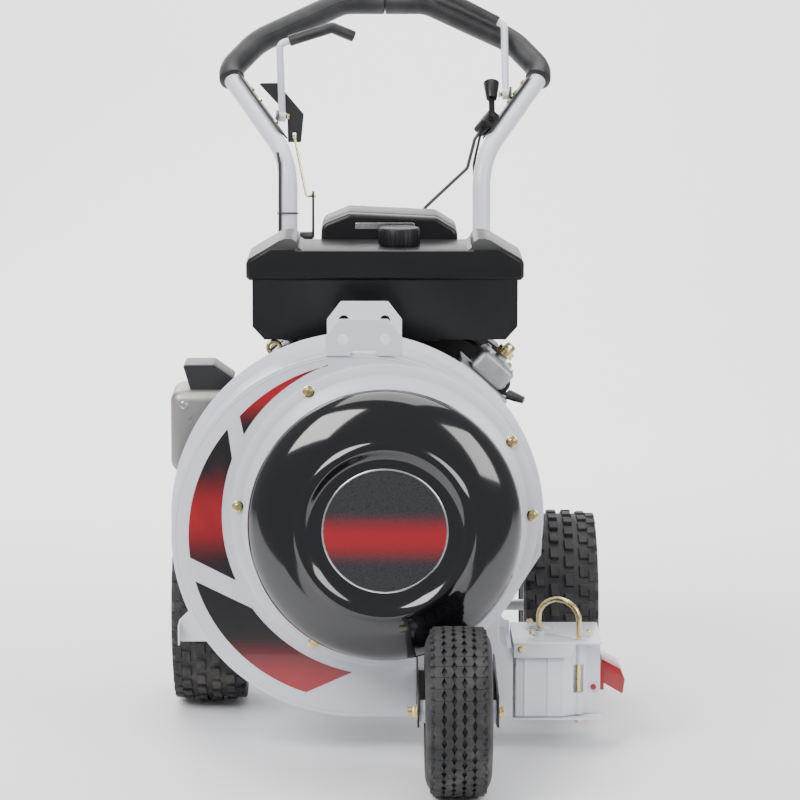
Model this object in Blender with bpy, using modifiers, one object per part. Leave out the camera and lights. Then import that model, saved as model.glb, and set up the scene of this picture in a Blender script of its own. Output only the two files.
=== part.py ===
"""A walk behind leaf blower: a sheet steel scroll fan driven by a V-twin engine, on three wheels.

Metres, +Z up. The machine faces -Y, its handle is at +Y, and air leaves the scroll towards +X.
The model is laid out from the fan's axis plane (x = 0), the front face of the scroll (y = 0) and
the ground (z = 0), and at the end the whole of it is moved so that its origin is at the middle of
its base.
"""

import math

import bmesh
import bpy
from mathutils import Matrix, Vector

# Sheet metal and clearances
SHEET = 0.003
GAP = 0.0003
RUNNING = 0.0005

# Scroll
FAN_Z = 0.395
SCROLL_X = -0.046
SCROLL_Z = 0.362
SCROLL_R = 0.300
SCROLL_DEPTH = 0.165
PLATE_OVERHANG = 0.005
BACK_FLANGE = 0.010
TONGUE_ANGLE = math.radians(-6)
TONGUE_X = 0.185
TONGUE_Z = 0.226
DUCT_TOP = 0.176
DUCT_END = 0.208
INLET_R = 0.176
SIDE_TAB_OUT = -0.345
SIDE_TAB_IN = -0.262
SIDE_TAB_LOW = 0.149
SIDE_TAB_HIGH = 0.200
SIDE_TAB_CORNER = 0.015
SIDE_TAB_FOLD = 0.030
BACK_Y = SHEET + GAP + SCROLL_DEPTH + GAP

# Tie plates on top of the scroll
TIE_X = -0.034
TIE_HALF = 0.062
TIE_SHOULDER = 0.030
TIE_CROWN_HALF = 0.039
TIE_HOLE_X = 0.034
TIE_HOLE_R = 0.0085
TIE_NOTCH_HALF = 0.022
TIE_NOTCH = 0.009

# Intake: bolted ring, guard and domed pod, with heights measured forward from the scroll's front
RING_R = 0.248
RING_BORE = 0.168
RING_CREST = 0.018
GUARD_R = 0.197
GUARD_BARS = 20
GUARD_BAR = 0.007
POD_R = 0.220
POD_RIM = 0.080
POD_DOME = 0.055
POD_FLAT_R = 0.100
POD_CREST_R = 0.138
POD_FACE_R = 0.118
POD_FACE = 0.128
POD_WALL = 0.0025

# Fan
FAN_R = 0.225
FAN_BLADES = 9
BLADE_FRONT = 0.024
FAN_DISC_Y = 0.145
FAN_DISC = 0.004
HUB_R = 0.030
SHAFT_R = 0.0127
JOURNAL_R = 0.0175

# Belt drive, in the space between the scroll and the engine
BELT_Y = 0.1835
BELT_WIDTH = 0.009
BELT_THICK = 0.009
BELT_CLEAR = 0.0012
PULLEY_WIDTH = 0.0155
DRIVE_ROOT = 0.0275
INPUT_ROOT = 0.046
PULLEY_LIP = 0.010
INPUT_Z = 0.178
INPUT_SHAFT_R = 0.0095

# Wheels
FRONT_R = 0.133
FRONT_WIDTH = 0.104
FRONT_RIM_R = 0.0508
FRONT_X = 0.114
FRONT_Y = -0.250
AXLE_BOLT_R = 0.00635
REAR_R = 0.165
REAR_WIDTH = 0.127
REAR_RIM_R = 0.0762
REAR_X = 0.2995
REAR_Y = 0.384
AXLE_R = 0.0095
WHEEL_SIDES = 24
BEAD_STEP = 0.010
RIM_FLANGE = 0.007
TYRE_WALL = 0.009
TYRE_SIDE = 0.036

# Frame
RAIL_X = 0.110
RAIL_SIZE = 0.038
RAIL_TOP = 0.233
RAIL_END = 0.598
DECK = 0.005
DECK_HALF = 0.150
DECK_BACK = 0.470
CROSS_Y = 0.559
CROSS_HALF = 0.205
FORK_SHEET = 0.003
FORK_CLEAR = 0.0085
SOCKET_WALL = 0.004
HANGER = 0.006
HANGER_HALF = 0.024

# Engine
ENGINE_FRONT = 0.200
CASE_HALF = 0.105
CASE_TOP = 0.500
CASE_BACK = 0.430
BANK_ANGLE = math.radians(42)
CYLINDER_START = 0.095
FIN_START = 0.150
HEAD_TOP = 0.250
COVER_TOP = 0.290
CYLINDER_HALF = 0.052
LEFT_BANK_Y = 0.335
RIGHT_BANK_Y = 0.290
BANK_DEPTH = 0.120
SHROUD_DEPTH = 0.090
SHROUD_TOP = 0.660
STARTER_ANGLE = math.radians(50)

# Fuel tank and air cleaner
TANK_FRONT = 0.215
TANK_BACK = 0.390
TANK_HALF = 0.221
TANK_BASE = 0.652
TANK_SEAM = 0.752
TANK_LIP = 0.010
TANK_TOP = 0.802
TANK_SHOULDER = 0.820
CAP_X = 0.024
CAP_Y = 0.300
CAP_R = 0.035
CAP_HEIGHT = 0.030
NECK_R = 0.026
NECK_HEIGHT = 0.020
CLEANER_FRONT = 0.396
CLEANER_BACK = 0.545

# Muffler
MUFFLER_LOW = (-0.358, 0.200, 0.430)
MUFFLER_HIGH = (-0.235, 0.330, 0.568)
EXHAUST_Y = 0.305

# Outlet
CHUTE_END = 0.353
CHUTE_LOW = 0.057
CHUTE_HIGH = 0.186
CHUTE_BACK = 0.152
HINGE_X = 0.316
HINGE_Y = 0.022
HINGE_ROD_R = 0.0045
ROD_CROWN = 0.250
ROD_BEND = 0.032
ROD_LEAN = 0.030
SPACER = 0.0085
CLIP_WIRE = 0.0012
DOOR_START = 0.213
DOOR_BEND = 0.290
DOOR_STEP = 0.030
DOOR_FACE = 0.0015
DOOR_CLEAR = 0.002
WINDOW_LOW = 0.098
WINDOW_HIGH = 0.146
PEDAL_NEAR = 0.0335
PEDAL_FAR = 0.105
STUD_X = 0.341
STUD_Z = 0.106
STUD_R = 0.0045
LIP_DROP = 0.024
LIP_CORNER = 0.012

# Handle
TUBE_R = 0.015875
GRIP_R = 0.0225
GRIP_CLEAR = 0.0012
BEND_STEPS = 4
LEVER_R = 0.0065
LEVER_GRIP_R = 0.010
LEG_X = 0.171
LEG_FOOT_Y = 0.559
SOCKET_HEIGHT = 0.080
KNEE = Vector((LEG_X, 0.650, 0.915))
ELBOW = Vector((0.288, 0.850, 1.055))
HORN = Vector((0.2334, 0.900, 1.109))
BAR_END = Vector((0.0763, 0.930, 1.1797))
DRIVE_PIVOT = Vector((-0.186, 0.790, 0.980))
DRIVE_TOP = Vector((-0.190, 0.785, 1.111))
DRIVE_KNEE = Vector((-0.096, 0.795, 1.140))
DRIVE_END = Vector((-0.058, 0.800, 1.124))
BRAKE_PIVOT = Vector((0.218, 0.790, 1.020))
BRAKE_TOP = Vector((0.218, 0.871, 1.140))
BRAKE_KNEE = Vector((0.130, 0.8885, 1.1845))
BRAKE_END = Vector((0.092, 0.890, 1.198))
KNEE_BEND = 0.110
ELBOW_BEND = 0.048
HORN_BEND = 0.085
BAR_BEND = 0.070
LEVER_BEND = 0.012
PIN_R = 0.0040
EYE_R = 0.010
EYE_HALF = 0.0065
LEFT_STRIP = (0.21, 0.88)
RIGHT_STRIP = (0.21, 0.86)
STRIP_WIDTH = 0.030
TAB_SHEET = 0.004
TAB_WIDTH = 0.020
TAB_SEAT = 0.008

# Throttle and drive linkage
THROTTLE_SEAT = 0.0787
THROTTLE_LONG = 0.040
THROTTLE_WIDE = 0.036
THROTTLE_THICK = 0.022
THROTTLE_REST = math.radians(29.4)
CABLE_R = 0.003
CABLE_BEND = 0.018
CABLE_BACK = 0.529
CLUTCH_PIN = Vector((-0.040, 0.4443, 0.176))
CLUTCH_ARM_HIGH = 0.222
CLUTCH_CABLE = Vector((-0.086, 0.449, 0.2145))
LINK_R = 0.0024
LINK_TOP = Vector((-0.164, DRIVE_PIVOT.y + 0.0025, 0.945))
LINK_FOOT = Vector((-0.128, 0.664, 0.848))
BELLCRANK_PIVOT = Vector((-0.1405, LINK_FOOT.y, 0.775))
BELLCRANK_ARM = LINK_FOOT.z - BELLCRANK_PIVOT.z
BELLCRANK_HALF = 0.011
BELLCRANK_R = 0.009
BELLCRANK_TIP = 0.0075
LINK_SLOT_ACROSS = 0.0038
LINK_SLOT_ALONG = 0.0050
PLATE_SLOT = 0.0054
LUG_LOW = 0.742
LUG_SHEET = 0.005

X = Vector((1, 0, 0))
Y = Vector((0, 1, 0))
Z = Vector((0, 0, 1))


# ---------------------------------------------------------------- scene and materials


def clear_scene():
    for obj in list(bpy.data.objects):
        bpy.data.objects.remove(obj, do_unlink=True)


def new_collection(name):
    collection = bpy.data.collections.new(name)
    bpy.context.scene.collection.children.link(collection)
    return collection


def paint(name, colour, roughness, metallic=0.0):
    material = bpy.data.materials.new(name)
    material.use_nodes = True
    shader = material.node_tree.nodes["Principled BSDF"]
    shader.inputs["Base Color"].default_value = (*colour, 1)
    shader.inputs["Roughness"].default_value = roughness
    shader.inputs["Metallic"].default_value = metallic
    return material


# ---------------------------------------------------------------- paths


def rounded(corners, radii, steps=4):
    """Points along a path whose inner corners are rounded: one radius for all, or one for each corner."""
    corners = [Vector(corner).to_3d() for corner in corners]
    if not isinstance(radii, (list, tuple)):
        radii = [radii] * len(corners)
    path = [corners[0]]
    for before, here, after, radius in zip(corners, corners[1:], corners[2:], radii[1:]):
        if radius == 0:
            path.append(here)
            continue
        back = (before - here).normalized()
        ahead = (after - here).normalized()
        half = back.angle(ahead) / 2
        centre = here + (back + ahead).normalized() * radius / math.sin(half)
        start = here + back * radius / math.tan(half) - centre
        end = here + ahead * radius / math.tan(half) - centre
        sweep = start.rotation_difference(end)
        for step in range(steps + 1):
            turn = sweep.copy()
            turn.angle = sweep.angle * step / steps
            path.append(centre + turn @ start)
    path.append(corners[-1])
    return path


def rounded_loop(corners, radius, steps=3):
    """A closed outline with every corner rounded."""
    corners = [Vector(corner) for corner in corners]
    return rounded([corners[-1]] + corners + [corners[0]], radius, steps)[1:-1]


def circle(radius, centre=(0, 0), sides=32, start=0.0):
    points = []
    for step in range(sides):
        angle = start + math.tau * step / sides
        points.append((centre[0] + radius * math.cos(angle), centre[1] + radius * math.sin(angle)))
    return points


def inset(outline, distance):
    """An anticlockwise outline moved inwards."""
    outline = [Vector(point[:2]) for point in outline]
    moved = []
    for before, here, after in zip(outline[-1:] + outline[:-1], outline, outline[1:] + outline[:1]):
        first = (here - before).normalized()
        second = (after - here).normalized()
        middle = (first + second).normalized()
        inward = Vector((-middle.y, middle.x))
        reach = distance / inward.dot(Vector((-first.y, first.x)))
        moved.append(here + inward * reach)
    return moved


# ---------------------------------------------------------------- solids


def from_bmesh(name, bm):
    mesh = bpy.data.meshes.new(name)
    bm.to_mesh(mesh)
    bm.free()
    obj = bpy.data.objects.new(name, mesh)
    PARTS.objects.link(obj)
    return obj


def box(name, low, high):
    low = Vector(low)
    high = Vector(high)
    bm = bmesh.new()
    bmesh.ops.create_cube(bm, size=1.0)
    bmesh.ops.scale(bm, vec=high - low, verts=bm.verts)
    bmesh.ops.translate(bm, vec=(high + low) / 2, verts=bm.verts)
    return from_bmesh(name, bm)


def slab(name, centre, along, across, size):
    """A box turned so that its length runs along one direction and its width across another."""
    along = Vector(along).normalized()
    normal = along.cross(Vector(across)).normalized()
    width = normal.cross(along)
    turn = Matrix((along, width, normal)).transposed().to_4x4()
    bm = bmesh.new()
    bmesh.ops.create_cube(bm, size=1.0)
    bmesh.ops.scale(bm, vec=size, verts=bm.verts)
    bmesh.ops.transform(bm, matrix=Matrix.Translation(centre) @ turn, verts=bm.verts)
    return from_bmesh(name, bm)


def bar(name, start, end, radius, sides=16, end_radius=None):
    """A round bar, or a taper, between two points."""
    start = Vector(start)
    end = Vector(end)
    turn = (end - start).to_track_quat("Z", "Y").to_matrix().to_4x4()
    bm = bmesh.new()
    bmesh.ops.create_cone(
        bm,
        cap_ends=True,
        segments=sides,
        radius1=radius,
        radius2=radius if end_radius is None else end_radius,
        depth=(end - start).length,
        matrix=Matrix.Translation((start + end) / 2) @ turn,
    )
    return from_bmesh(name, bm)


def facing(axis):
    """The turn that carries local Z to an axis, and local X to the row's X where it can."""
    axis = Vector(axis)
    side = Y if abs(axis.x) > 0.5 else X
    return Matrix((side, axis.cross(side), axis)).transposed().to_4x4()


def turned(name, profile, centre, axis, steps=WHEEL_SIDES, wall=0.0):
    """A profile of (radius, height) turned about an axis. A loop off the axis makes a ring, and an
    open profile with a wall makes a shell."""
    area = 0.0
    for (r0, h0), (r1, h1) in zip(profile, profile[1:] + profile[:1]):
        area += r0 * h1 - r1 * h0
    if area > 0:
        profile = profile[::-1]
    bm = bmesh.new()
    points = [bm.verts.new((radius, 0, height)) for radius, height in profile]
    for first, second in zip(points, points[1:]):
        bm.edges.new((first, second))
    if wall == 0.0 and min(radius for radius, _ in profile) > 0:
        bm.edges.new((points[-1], points[0]))
    obj = from_bmesh(name, bm)
    obj.matrix_world = Matrix.Translation(centre) @ facing(axis)
    screw = obj.modifiers.new("Turn", "SCREW")
    screw.axis = "Z"
    screw.steps = steps
    screw.render_steps = steps
    screw.use_merge_vertices = True
    screw.merge_threshold = 0.00001
    if wall:
        shell = obj.modifiers.new("Wall", "SOLIDIFY")
        shell.thickness = wall
        shell.offset = -1
    return obj


def plate(name, outlines, low, high, axis=(0, 1, 0)):
    """Flat stock between two levels on an axis: the first outline is its edge and the rest are holes.
    Across Y the outline is (x, z), across X it is (y, z), and across Z it is (x, y)."""
    curve = bpy.data.curves.new(name, "CURVE")
    curve.dimensions = "2D"
    curve.fill_mode = "BOTH"
    curve.extrude = (high - low) / 2
    for outline in outlines:
        spline = curve.splines.new("POLY")
        spline.points.add(len(outline) - 1)
        spline.use_cyclic_u = True
        for point, place in zip(spline.points, outline):
            point.co = (place[0], place[1], 0, 1)
    obj = bpy.data.objects.new(name, curve)
    PARTS.objects.link(obj)
    axis = Vector(axis)
    if axis.y:
        turn = Matrix((X, Z, -Y)).transposed().to_4x4()
    elif axis.x:
        turn = Matrix((Y, Z, X)).transposed().to_4x4()
    else:
        turn = Matrix.Identity(4)
    obj.matrix_world = Matrix.Translation(axis * (low + high) / 2) @ turn
    return obj


def pipe(name, points, radius, ring=2, closed=False):
    """Round stock along a path."""
    curve = bpy.data.curves.new(name, "CURVE")
    curve.dimensions = "3D"
    curve.bevel_depth = radius
    curve.bevel_resolution = ring
    curve.use_fill_caps = True
    spline = curve.splines.new("POLY")
    spline.points.add(len(points) - 1)
    spline.use_cyclic_u = closed
    for point, place in zip(spline.points, points):
        point.co = (*place, 1)
    obj = bpy.data.objects.new(name, curve)
    PARTS.objects.link(obj)
    return obj


def as_mesh(obj):
    """The curve as a welded mesh, so that it can be cut and joined."""
    bpy.context.view_layer.update()
    evaluated = obj.evaluated_get(bpy.context.evaluated_depsgraph_get())
    mesh = bpy.data.meshes.new_from_object(evaluated)
    bm = bmesh.new()
    bm.from_mesh(mesh)
    bmesh.ops.remove_doubles(bm, verts=bm.verts, dist=0.000001)
    bm.to_mesh(mesh)
    bm.free()
    name = obj.name
    place = obj.matrix_world.copy()
    bpy.data.objects.remove(obj)
    solid = bpy.data.objects.new(name, mesh)
    solid.matrix_world = place
    PARTS.objects.link(solid)
    return solid


def work_with(target, tools, operation):
    for tool in tools:
        PARTS.objects.unlink(tool)
        CUTTERS.objects.link(tool)
        tool.hide_render = True
        tool.display_type = "WIRE"
        tool.parent = ROOT
        change = target.modifiers.new(operation.title(), "BOOLEAN")
        change.operation = operation
        change.object = tool
    return target


def cut(target, *tools):
    return work_with(target, tools, "DIFFERENCE")


def join(target, *tools):
    return work_with(target, tools, "UNION")


def soften(obj, width, segments=1):
    edges = obj.modifiers.new("Soft edges", "BEVEL")
    edges.width = width
    edges.segments = segments
    edges.limit_method = "ANGLE"
    return obj


def finish(obj, material, pivot=None):
    """Gives a piece its material and hangs it on its joint's empty, or on the frame."""
    obj.data.materials.clear()
    obj.data.materials.append(material)
    if obj.type == "MESH":
        obj.data.shade_smooth()
        obj.data.set_sharp_from_angle(angle=math.radians(35))
    holder = pivot or ROOT
    obj.parent = holder
    obj.matrix_parent_inverse = Matrix.Translation(-holder.location)
    return obj


def pivot_at(name, place):
    """An empty on a joint's axis."""
    empty = bpy.data.objects.new(name, None)
    empty.location = place
    empty.parent = ROOT
    PARTS.objects.link(empty)
    return empty


# ---------------------------------------------------------------- scroll


def scroll_outline():
    """The housing's edge, anticlockwise from the top of the outlet to the bottom of it."""
    centre = Vector((SCROLL_X, SCROLL_Z))
    first = centre + SCROLL_R * Vector((math.cos(TONGUE_ANGLE), math.sin(TONGUE_ANGLE)))
    corners = [(DUCT_END, DUCT_TOP), (TONGUE_X, DUCT_TOP), (TONGUE_X, TONGUE_Z), first]
    outline = [Vector(point[:2]) for point in rounded(corners, [0, 0.018, 0.030, 0], 3)]
    steps = 36
    sweep = math.radians(270) - TONGUE_ANGLE
    for step in range(1, steps + 1):
        angle = TONGUE_ANGLE + sweep * step / steps
        outline.append(centre + SCROLL_R * Vector((math.cos(angle), math.sin(angle))))
    outline.append(Vector((DUCT_END, SCROLL_Z - SCROLL_R)))
    return outline


def to_outlet(chain):
    """A moved outline drawn out again to the outlet's end."""
    chain = [Vector(point) for point in chain]
    chain[0].x = DUCT_END
    chain[-1].x = DUCT_END
    return chain


def make_scroll(white):
    outline = scroll_outline()
    inlet = circle(INLET_R, (0, FAN_Z), 32)
    front = plate("scroll_front_plate", [outline, inlet], 0, SHEET)
    finish(front, white)

    outer = to_outlet(inset(outline, PLATE_OVERHANG))
    inner = to_outlet(inset(outline, PLATE_OVERHANG + SHEET))
    band_front = SHEET + GAP
    band = plate("scroll_band", [outer + inner[::-1]], band_front, band_front + SCROLL_DEPTH)
    finish(band, white)

    back_edge = to_outlet(inset(outline, -BACK_FLANGE))
    back_edge[-1].y = outline[-1].y
    shaft_hole = circle(DRIVE_ROOT, (0, FAN_Z), 24)
    low = BACK_Y
    back = as_mesh(plate("scroll_back_plate", [back_edge, shaft_hole], low, low + SHEET))
    tab_edge = [
        (SIDE_TAB_OUT, SIDE_TAB_LOW),
        (SIDE_TAB_IN, SIDE_TAB_LOW),
        (SIDE_TAB_IN, SIDE_TAB_HIGH),
        (SIDE_TAB_OUT + SIDE_TAB_CORNER, SIDE_TAB_HIGH),
        (SIDE_TAB_OUT, SIDE_TAB_HIGH - SIDE_TAB_CORNER),
    ]
    tab = as_mesh(plate("side_tab", [tab_edge], low + GAP, low + SHEET + 0.001))
    fold_low = (SIDE_TAB_OUT, low - SIDE_TAB_FOLD, SIDE_TAB_LOW)
    fold_high = (SIDE_TAB_OUT + SHEET, low + SHEET, SIDE_TAB_HIGH - SIDE_TAB_CORNER - 0.002)
    tab_fold = box("side_tab_fold", fold_low, fold_high)
    join(back, tab, tab_fold)
    finish(back, white)


def make_intake(white, wire, dome):
    forward = (0, -1, 0)
    centre = (0, 0, FAN_Z)
    base = GAP
    lip = base + SHEET
    bell = [
        (RING_R, base),
        (RING_R, lip),
        (0.229, lip),
        (0.212, RING_CREST - 0.004),
        (GUARD_R + 0.002, RING_CREST),
        (GUARD_R - 0.010, RING_CREST),
        (RING_BORE, 0.002),
        (RING_BORE, -0.006),
        (RING_BORE + SHEET, -0.006),
        (RING_BORE + SHEET, 0.001),
        (GUARD_R - 0.011, RING_CREST - SHEET),
        (GUARD_R + 0.001, RING_CREST - SHEET),
        (0.228, base),
    ]
    ring = turned("inlet_ring", bell, centre, forward, 32)
    finish(ring, white)

    wall = 0.003
    low = RING_CREST + GAP
    high = pod_inside(GUARD_R)
    cage = [(GUARD_R - wall, low), (GUARD_R, low), (GUARD_R, high), (GUARD_R - wall, high)]
    guard = turned("intake_guard", cage, centre, forward, GUARD_BARS * 2)
    bm = bmesh.new()
    for step in range(GUARD_BARS):
        turn = Matrix.Rotation(math.tau * (step + 0.5) / GUARD_BARS, 4, "Y")
        place = Matrix.Translation(centre) @ turn @ Matrix.Translation((GUARD_R, -(low + high) / 2, 0))
        gap = math.tau * GUARD_R / GUARD_BARS - GUARD_BAR
        size = Matrix.Diagonal((0.020, high - low - 0.016, gap, 1))
        bmesh.ops.create_cube(bm, size=1.0, matrix=place @ size)
    cut(guard, from_bmesh("guard_windows", bm))
    finish(guard, wire)

    edge_angle = math.radians(64)
    profile = [(0, POD_FACE), (POD_FACE_R, POD_FACE), (POD_CREST_R - 0.006, POD_FACE + 0.009)]
    profile += [(POD_CREST_R + 0.002, POD_FACE + 0.010)]
    steps = 5
    for step in range(steps, -1, -1):
        angle = edge_angle * step / steps
        radius = POD_FLAT_R + (POD_R - POD_FLAT_R) * math.cos(angle)
        profile.append((radius, POD_RIM + POD_DOME * math.sin(angle)))
    pod = turned("intake_pod", profile, centre, forward, 36, POD_WALL)
    finish(pod, dome)


def pod_inside(radius):
    """How far forward the pod's inner side is at a radius, less a little for its flat facets."""
    share = (radius + POD_WALL - POD_FLAT_R) / (POD_R - POD_FLAT_R)
    return POD_RIM + POD_DOME * math.sqrt(1 - share * share) - POD_WALL


# ---------------------------------------------------------------- fan and drive


def groove(root, y):
    """A V-belt pulley's rim as (radius, height), going back along the axis."""
    half = PULLEY_WIDTH / 2
    slot = BELT_WIDTH / 2 + GAP
    outer = root + PULLEY_LIP
    near = [(outer, y - half), (outer, y - slot), (root, y - slot)]
    return near + [(root, y + slot), (outer, y + slot), (outer, y + half)]


def make_fan(steel, alloy, rubber):
    crank = pivot_at("crank_axis", (0, 0, FAN_Z))
    centre = (0, 0, FAN_Z)
    hub_front = 0.060
    disc_back = FAN_DISC_Y + FAN_DISC
    profile = [(0, hub_front), (HUB_R, hub_front), (HUB_R, FAN_DISC_Y), (FAN_R, FAN_DISC_Y)]
    profile += [(FAN_R, disc_back), (HUB_R, disc_back), (HUB_R, disc_back + 0.006), (0, disc_back + 0.006)]
    fan = turned("impeller", profile, centre, (0, 1, 0), 27)
    bm = bmesh.new()
    for step in range(FAN_BLADES):
        turn = Matrix.Rotation(math.tau * step / FAN_BLADES, 4, "Y")
        lean = Matrix.Translation((0.132, 0, 0)) @ Matrix.Rotation(math.radians(12), 4, "Y")
        high = FAN_DISC_Y + 0.001
        place = Matrix.Translation((0, (BLADE_FRONT + high) / 2, FAN_Z)) @ turn @ lean
        size = Matrix.Diagonal((0.170, high - BLADE_FRONT, 0.004, 1))
        bmesh.ops.create_cube(bm, size=1.0, matrix=place @ size)
    blades = from_bmesh("impeller_blades", bm)
    bore_start = (0, hub_front - 0.01, FAN_Z)
    bore = bar("impeller_bore", bore_start, (0, disc_back + 0.02, FAN_Z), SHAFT_R + RUNNING, 16)
    join(fan, blades)
    cut(fan, bore)
    finish(fan, steel, crank)

    half = PULLEY_WIDTH / 2
    profile = [(0, 0.046), (0.011, 0.046), (0.011, 0.059), (SHAFT_R, 0.059), (SHAFT_R, BELT_Y - half)]
    profile += groove(DRIVE_ROOT, BELT_Y)
    profile += [(JOURNAL_R, BELT_Y + half), (JOURNAL_R, 0.500), (0.012, 0.500), (0.012, 0.516), (0, 0.516)]
    shaft = turned("crankshaft", profile, centre, (0, 1, 0), 16)
    finish(shaft, steel, crank)

    under = pivot_at("input_axis", (0, 0, INPUT_Z))
    profile = [(0, BELT_Y - half - 0.004), (0.016, BELT_Y - half - 0.004), (0.016, BELT_Y - half)]
    profile += groove(INPUT_ROOT, BELT_Y)
    hub_back = BELT_Y + half + 0.012
    profile += [(0.016, BELT_Y + half), (0.016, hub_back), (INPUT_SHAFT_R, hub_back)]
    profile += [(INPUT_SHAFT_R, 0.344), (0, 0.344)]
    lower = turned("input_shaft", profile, (0, 0, INPUT_Z), (0, 1, 0), 16)
    finish(lower, alloy, under)

    belt_path = belt_loop(BELT_CLEAR)
    belt_outer = belt_loop(BELT_CLEAR + BELT_THICK)
    belt = plate("drive_belt", [belt_outer, belt_path], BELT_Y - BELT_WIDTH / 2, BELT_Y + BELT_WIDTH / 2)
    finish(belt, rubber)


def belt_loop(clear):
    """The loop round both pulleys, at a height above their roots."""
    top = DRIVE_ROOT + clear
    bottom = INPUT_ROOT + clear
    lean = math.asin((bottom - top) / (FAN_Z - INPUT_Z))
    steps = 9
    points = []
    for step in range(steps + 1):
        angle = -lean + (math.pi + 2 * lean) * step / steps
        points.append((top * math.cos(angle), FAN_Z + top * math.sin(angle)))
    for step in range(steps + 1):
        angle = math.pi + lean + (math.pi - 2 * lean) * step / steps
        points.append((bottom * math.cos(angle), INPUT_Z + bottom * math.sin(angle)))
    return points


def bead_seat(width):
    """Half the distance between a rim's two flanges."""
    return width / 2 - BEAD_STEP


def tyre_profile(outer, width, rim):
    """A tyre's section, open towards its rim."""
    half = width / 2
    bead = rim + GAP
    seat = bead_seat(width)
    lift = rim + RIM_FLANGE + RUNNING
    shoulder = half - 0.006
    tread = half - 0.018
    side = outer - TYRE_SIDE
    edge = outer - 0.010
    inside = outer - TYRE_WALL
    points = [(bead, -seat), (lift, -seat), (side, -half), (edge, -shoulder), (outer, -tread)]
    points += [(outer, tread), (edge, shoulder), (side, half), (lift, seat), (bead, seat)]
    points += [(bead, seat - TYRE_WALL), (side, half - TYRE_WALL), (inside, tread - 0.004)]
    points += [(inside, 0.004 - tread), (side, TYRE_WALL - half), (bead, TYRE_WALL - seat)]
    return points


def rim_profile(rim, width, bore, hub_half):
    """A pressed steel rim with its disc and hub, as one ring about its bore."""
    seat = bead_seat(width)
    flange = rim + RIM_FLANGE
    well = rim - 0.003
    hub = bore + 0.011
    points = [(flange, -seat - 0.003), (flange, -seat - GAP), (rim, -seat - GAP), (rim, seat + GAP)]
    points += [(flange, seat + GAP), (flange, seat + 0.003), (well, seat + 0.003), (well, 0.003)]
    points += [(hub, 0.003), (hub, hub_half), (bore, hub_half), (bore, -hub_half), (hub, -hub_half)]
    points += [(hub, -0.003), (well, -0.003), (well, -seat - 0.003)]
    return points


def make_wheels(tyre, rim_paint, steel, gold):
    bolt_bore = AXLE_BOLT_R + GAP
    centre = (FRONT_X, FRONT_Y, FRONT_R)
    spin = pivot_at("front_wheel_axis", centre)
    section = tyre_profile(FRONT_R, FRONT_WIDTH, FRONT_RIM_R)
    finish(turned("front_tyre", section, centre, (1, 0, 0)), tyre, spin)
    hub_half = FRONT_WIDTH / 2 + FORK_CLEAR - RUNNING
    section = rim_profile(FRONT_RIM_R, FRONT_WIDTH, bolt_bore, hub_half)
    finish(turned("front_rim", section, centre, (1, 0, 0)), rim_paint, spin)

    inner = FRONT_WIDTH / 2 + FORK_CLEAR
    outer = inner + FORK_SHEET + GAP
    head = 0.0075
    profile = [(0, outer + head), (0.0095, outer + head), (0.0095, outer), (AXLE_BOLT_R, outer)]
    nut_end = -outer - 0.009
    profile += [(AXLE_BOLT_R, -outer), (0.0095, -outer), (0.0095, nut_end), (AXLE_BOLT_R, nut_end)]
    profile += [(AXLE_BOLT_R, -outer - 0.016), (0, -outer - 0.016)]
    finish(turned("front_axle_bolt", profile, centre, (1, 0, 0), 18), gold)

    for side, word in ((-1, "left"), (1, "right")):
        centre = (side * REAR_X, REAR_Y, REAR_R)
        spin = pivot_at(f"rear_wheel_axis_{word}", centre)
        section = tyre_profile(REAR_R, REAR_WIDTH, REAR_RIM_R)
        finish(turned(f"rear_tyre_{word}", section, centre, (1, 0, 0)), tyre, spin)
        section = rim_profile(REAR_RIM_R, REAR_WIDTH, AXLE_R + GAP, 0.034)
        finish(turned(f"rear_rim_{word}", section, centre, (1, 0, 0)), rim_paint, spin)
        start = 0.012
        end = REAR_X + 0.042
        ring = AXLE_R + 0.005
        profile = [(0, start), (AXLE_R, start), (AXLE_R, REAR_X - 0.034 - GAP - 0.006)]
        profile += [(ring, REAR_X - 0.034 - GAP - 0.006), (ring, REAR_X - 0.034 - GAP)]
        profile += [(AXLE_R, REAR_X - 0.034 - GAP), (AXLE_R, end), (0, end)]
        shaft = turned(f"axle_shaft_{word}", profile, (0, REAR_Y, REAR_R), (side, 0, 0), 18)
        finish(shaft, steel, spin)


def make_fork(grey):
    """A welded fork: two side plates and the plate that bolts to the scroll's front."""
    reach = FRONT_WIDTH / 2 + FORK_CLEAR
    face = -GAP
    edge = [
        (face, SCROLL_Z - SCROLL_R + 0.004),
        (face, 0.142),
        (-0.022, 0.142),
        (-0.022, 0.172),
        (FRONT_Y - 0.018, FRONT_R + 0.030),
        (FRONT_Y - 0.030, FRONT_R + 0.012),
        (FRONT_Y - 0.024, FRONT_R - 0.020),
        (FRONT_Y + 0.010, FRONT_R - 0.026),
    ]
    hole = circle(AXLE_BOLT_R + GAP, (FRONT_Y, FRONT_R), 18)
    low = FRONT_X - reach - FORK_SHEET
    fork = as_mesh(plate("front_fork", [edge, hole], low, low + FORK_SHEET, (1, 0, 0)))
    high = FRONT_X + reach
    other = as_mesh(plate("fork_right_side", [edge, hole], high, high + FORK_SHEET, (1, 0, 0)))
    bottom = SCROLL_Z - SCROLL_R + 0.006
    web = box("fork_web", (low + 0.001, face - 0.004, bottom), (high + FORK_SHEET - 0.001, face, 0.140))
    join(fork, other, web)
    finish(fork, grey)


# ---------------------------------------------------------------- frame


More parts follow.
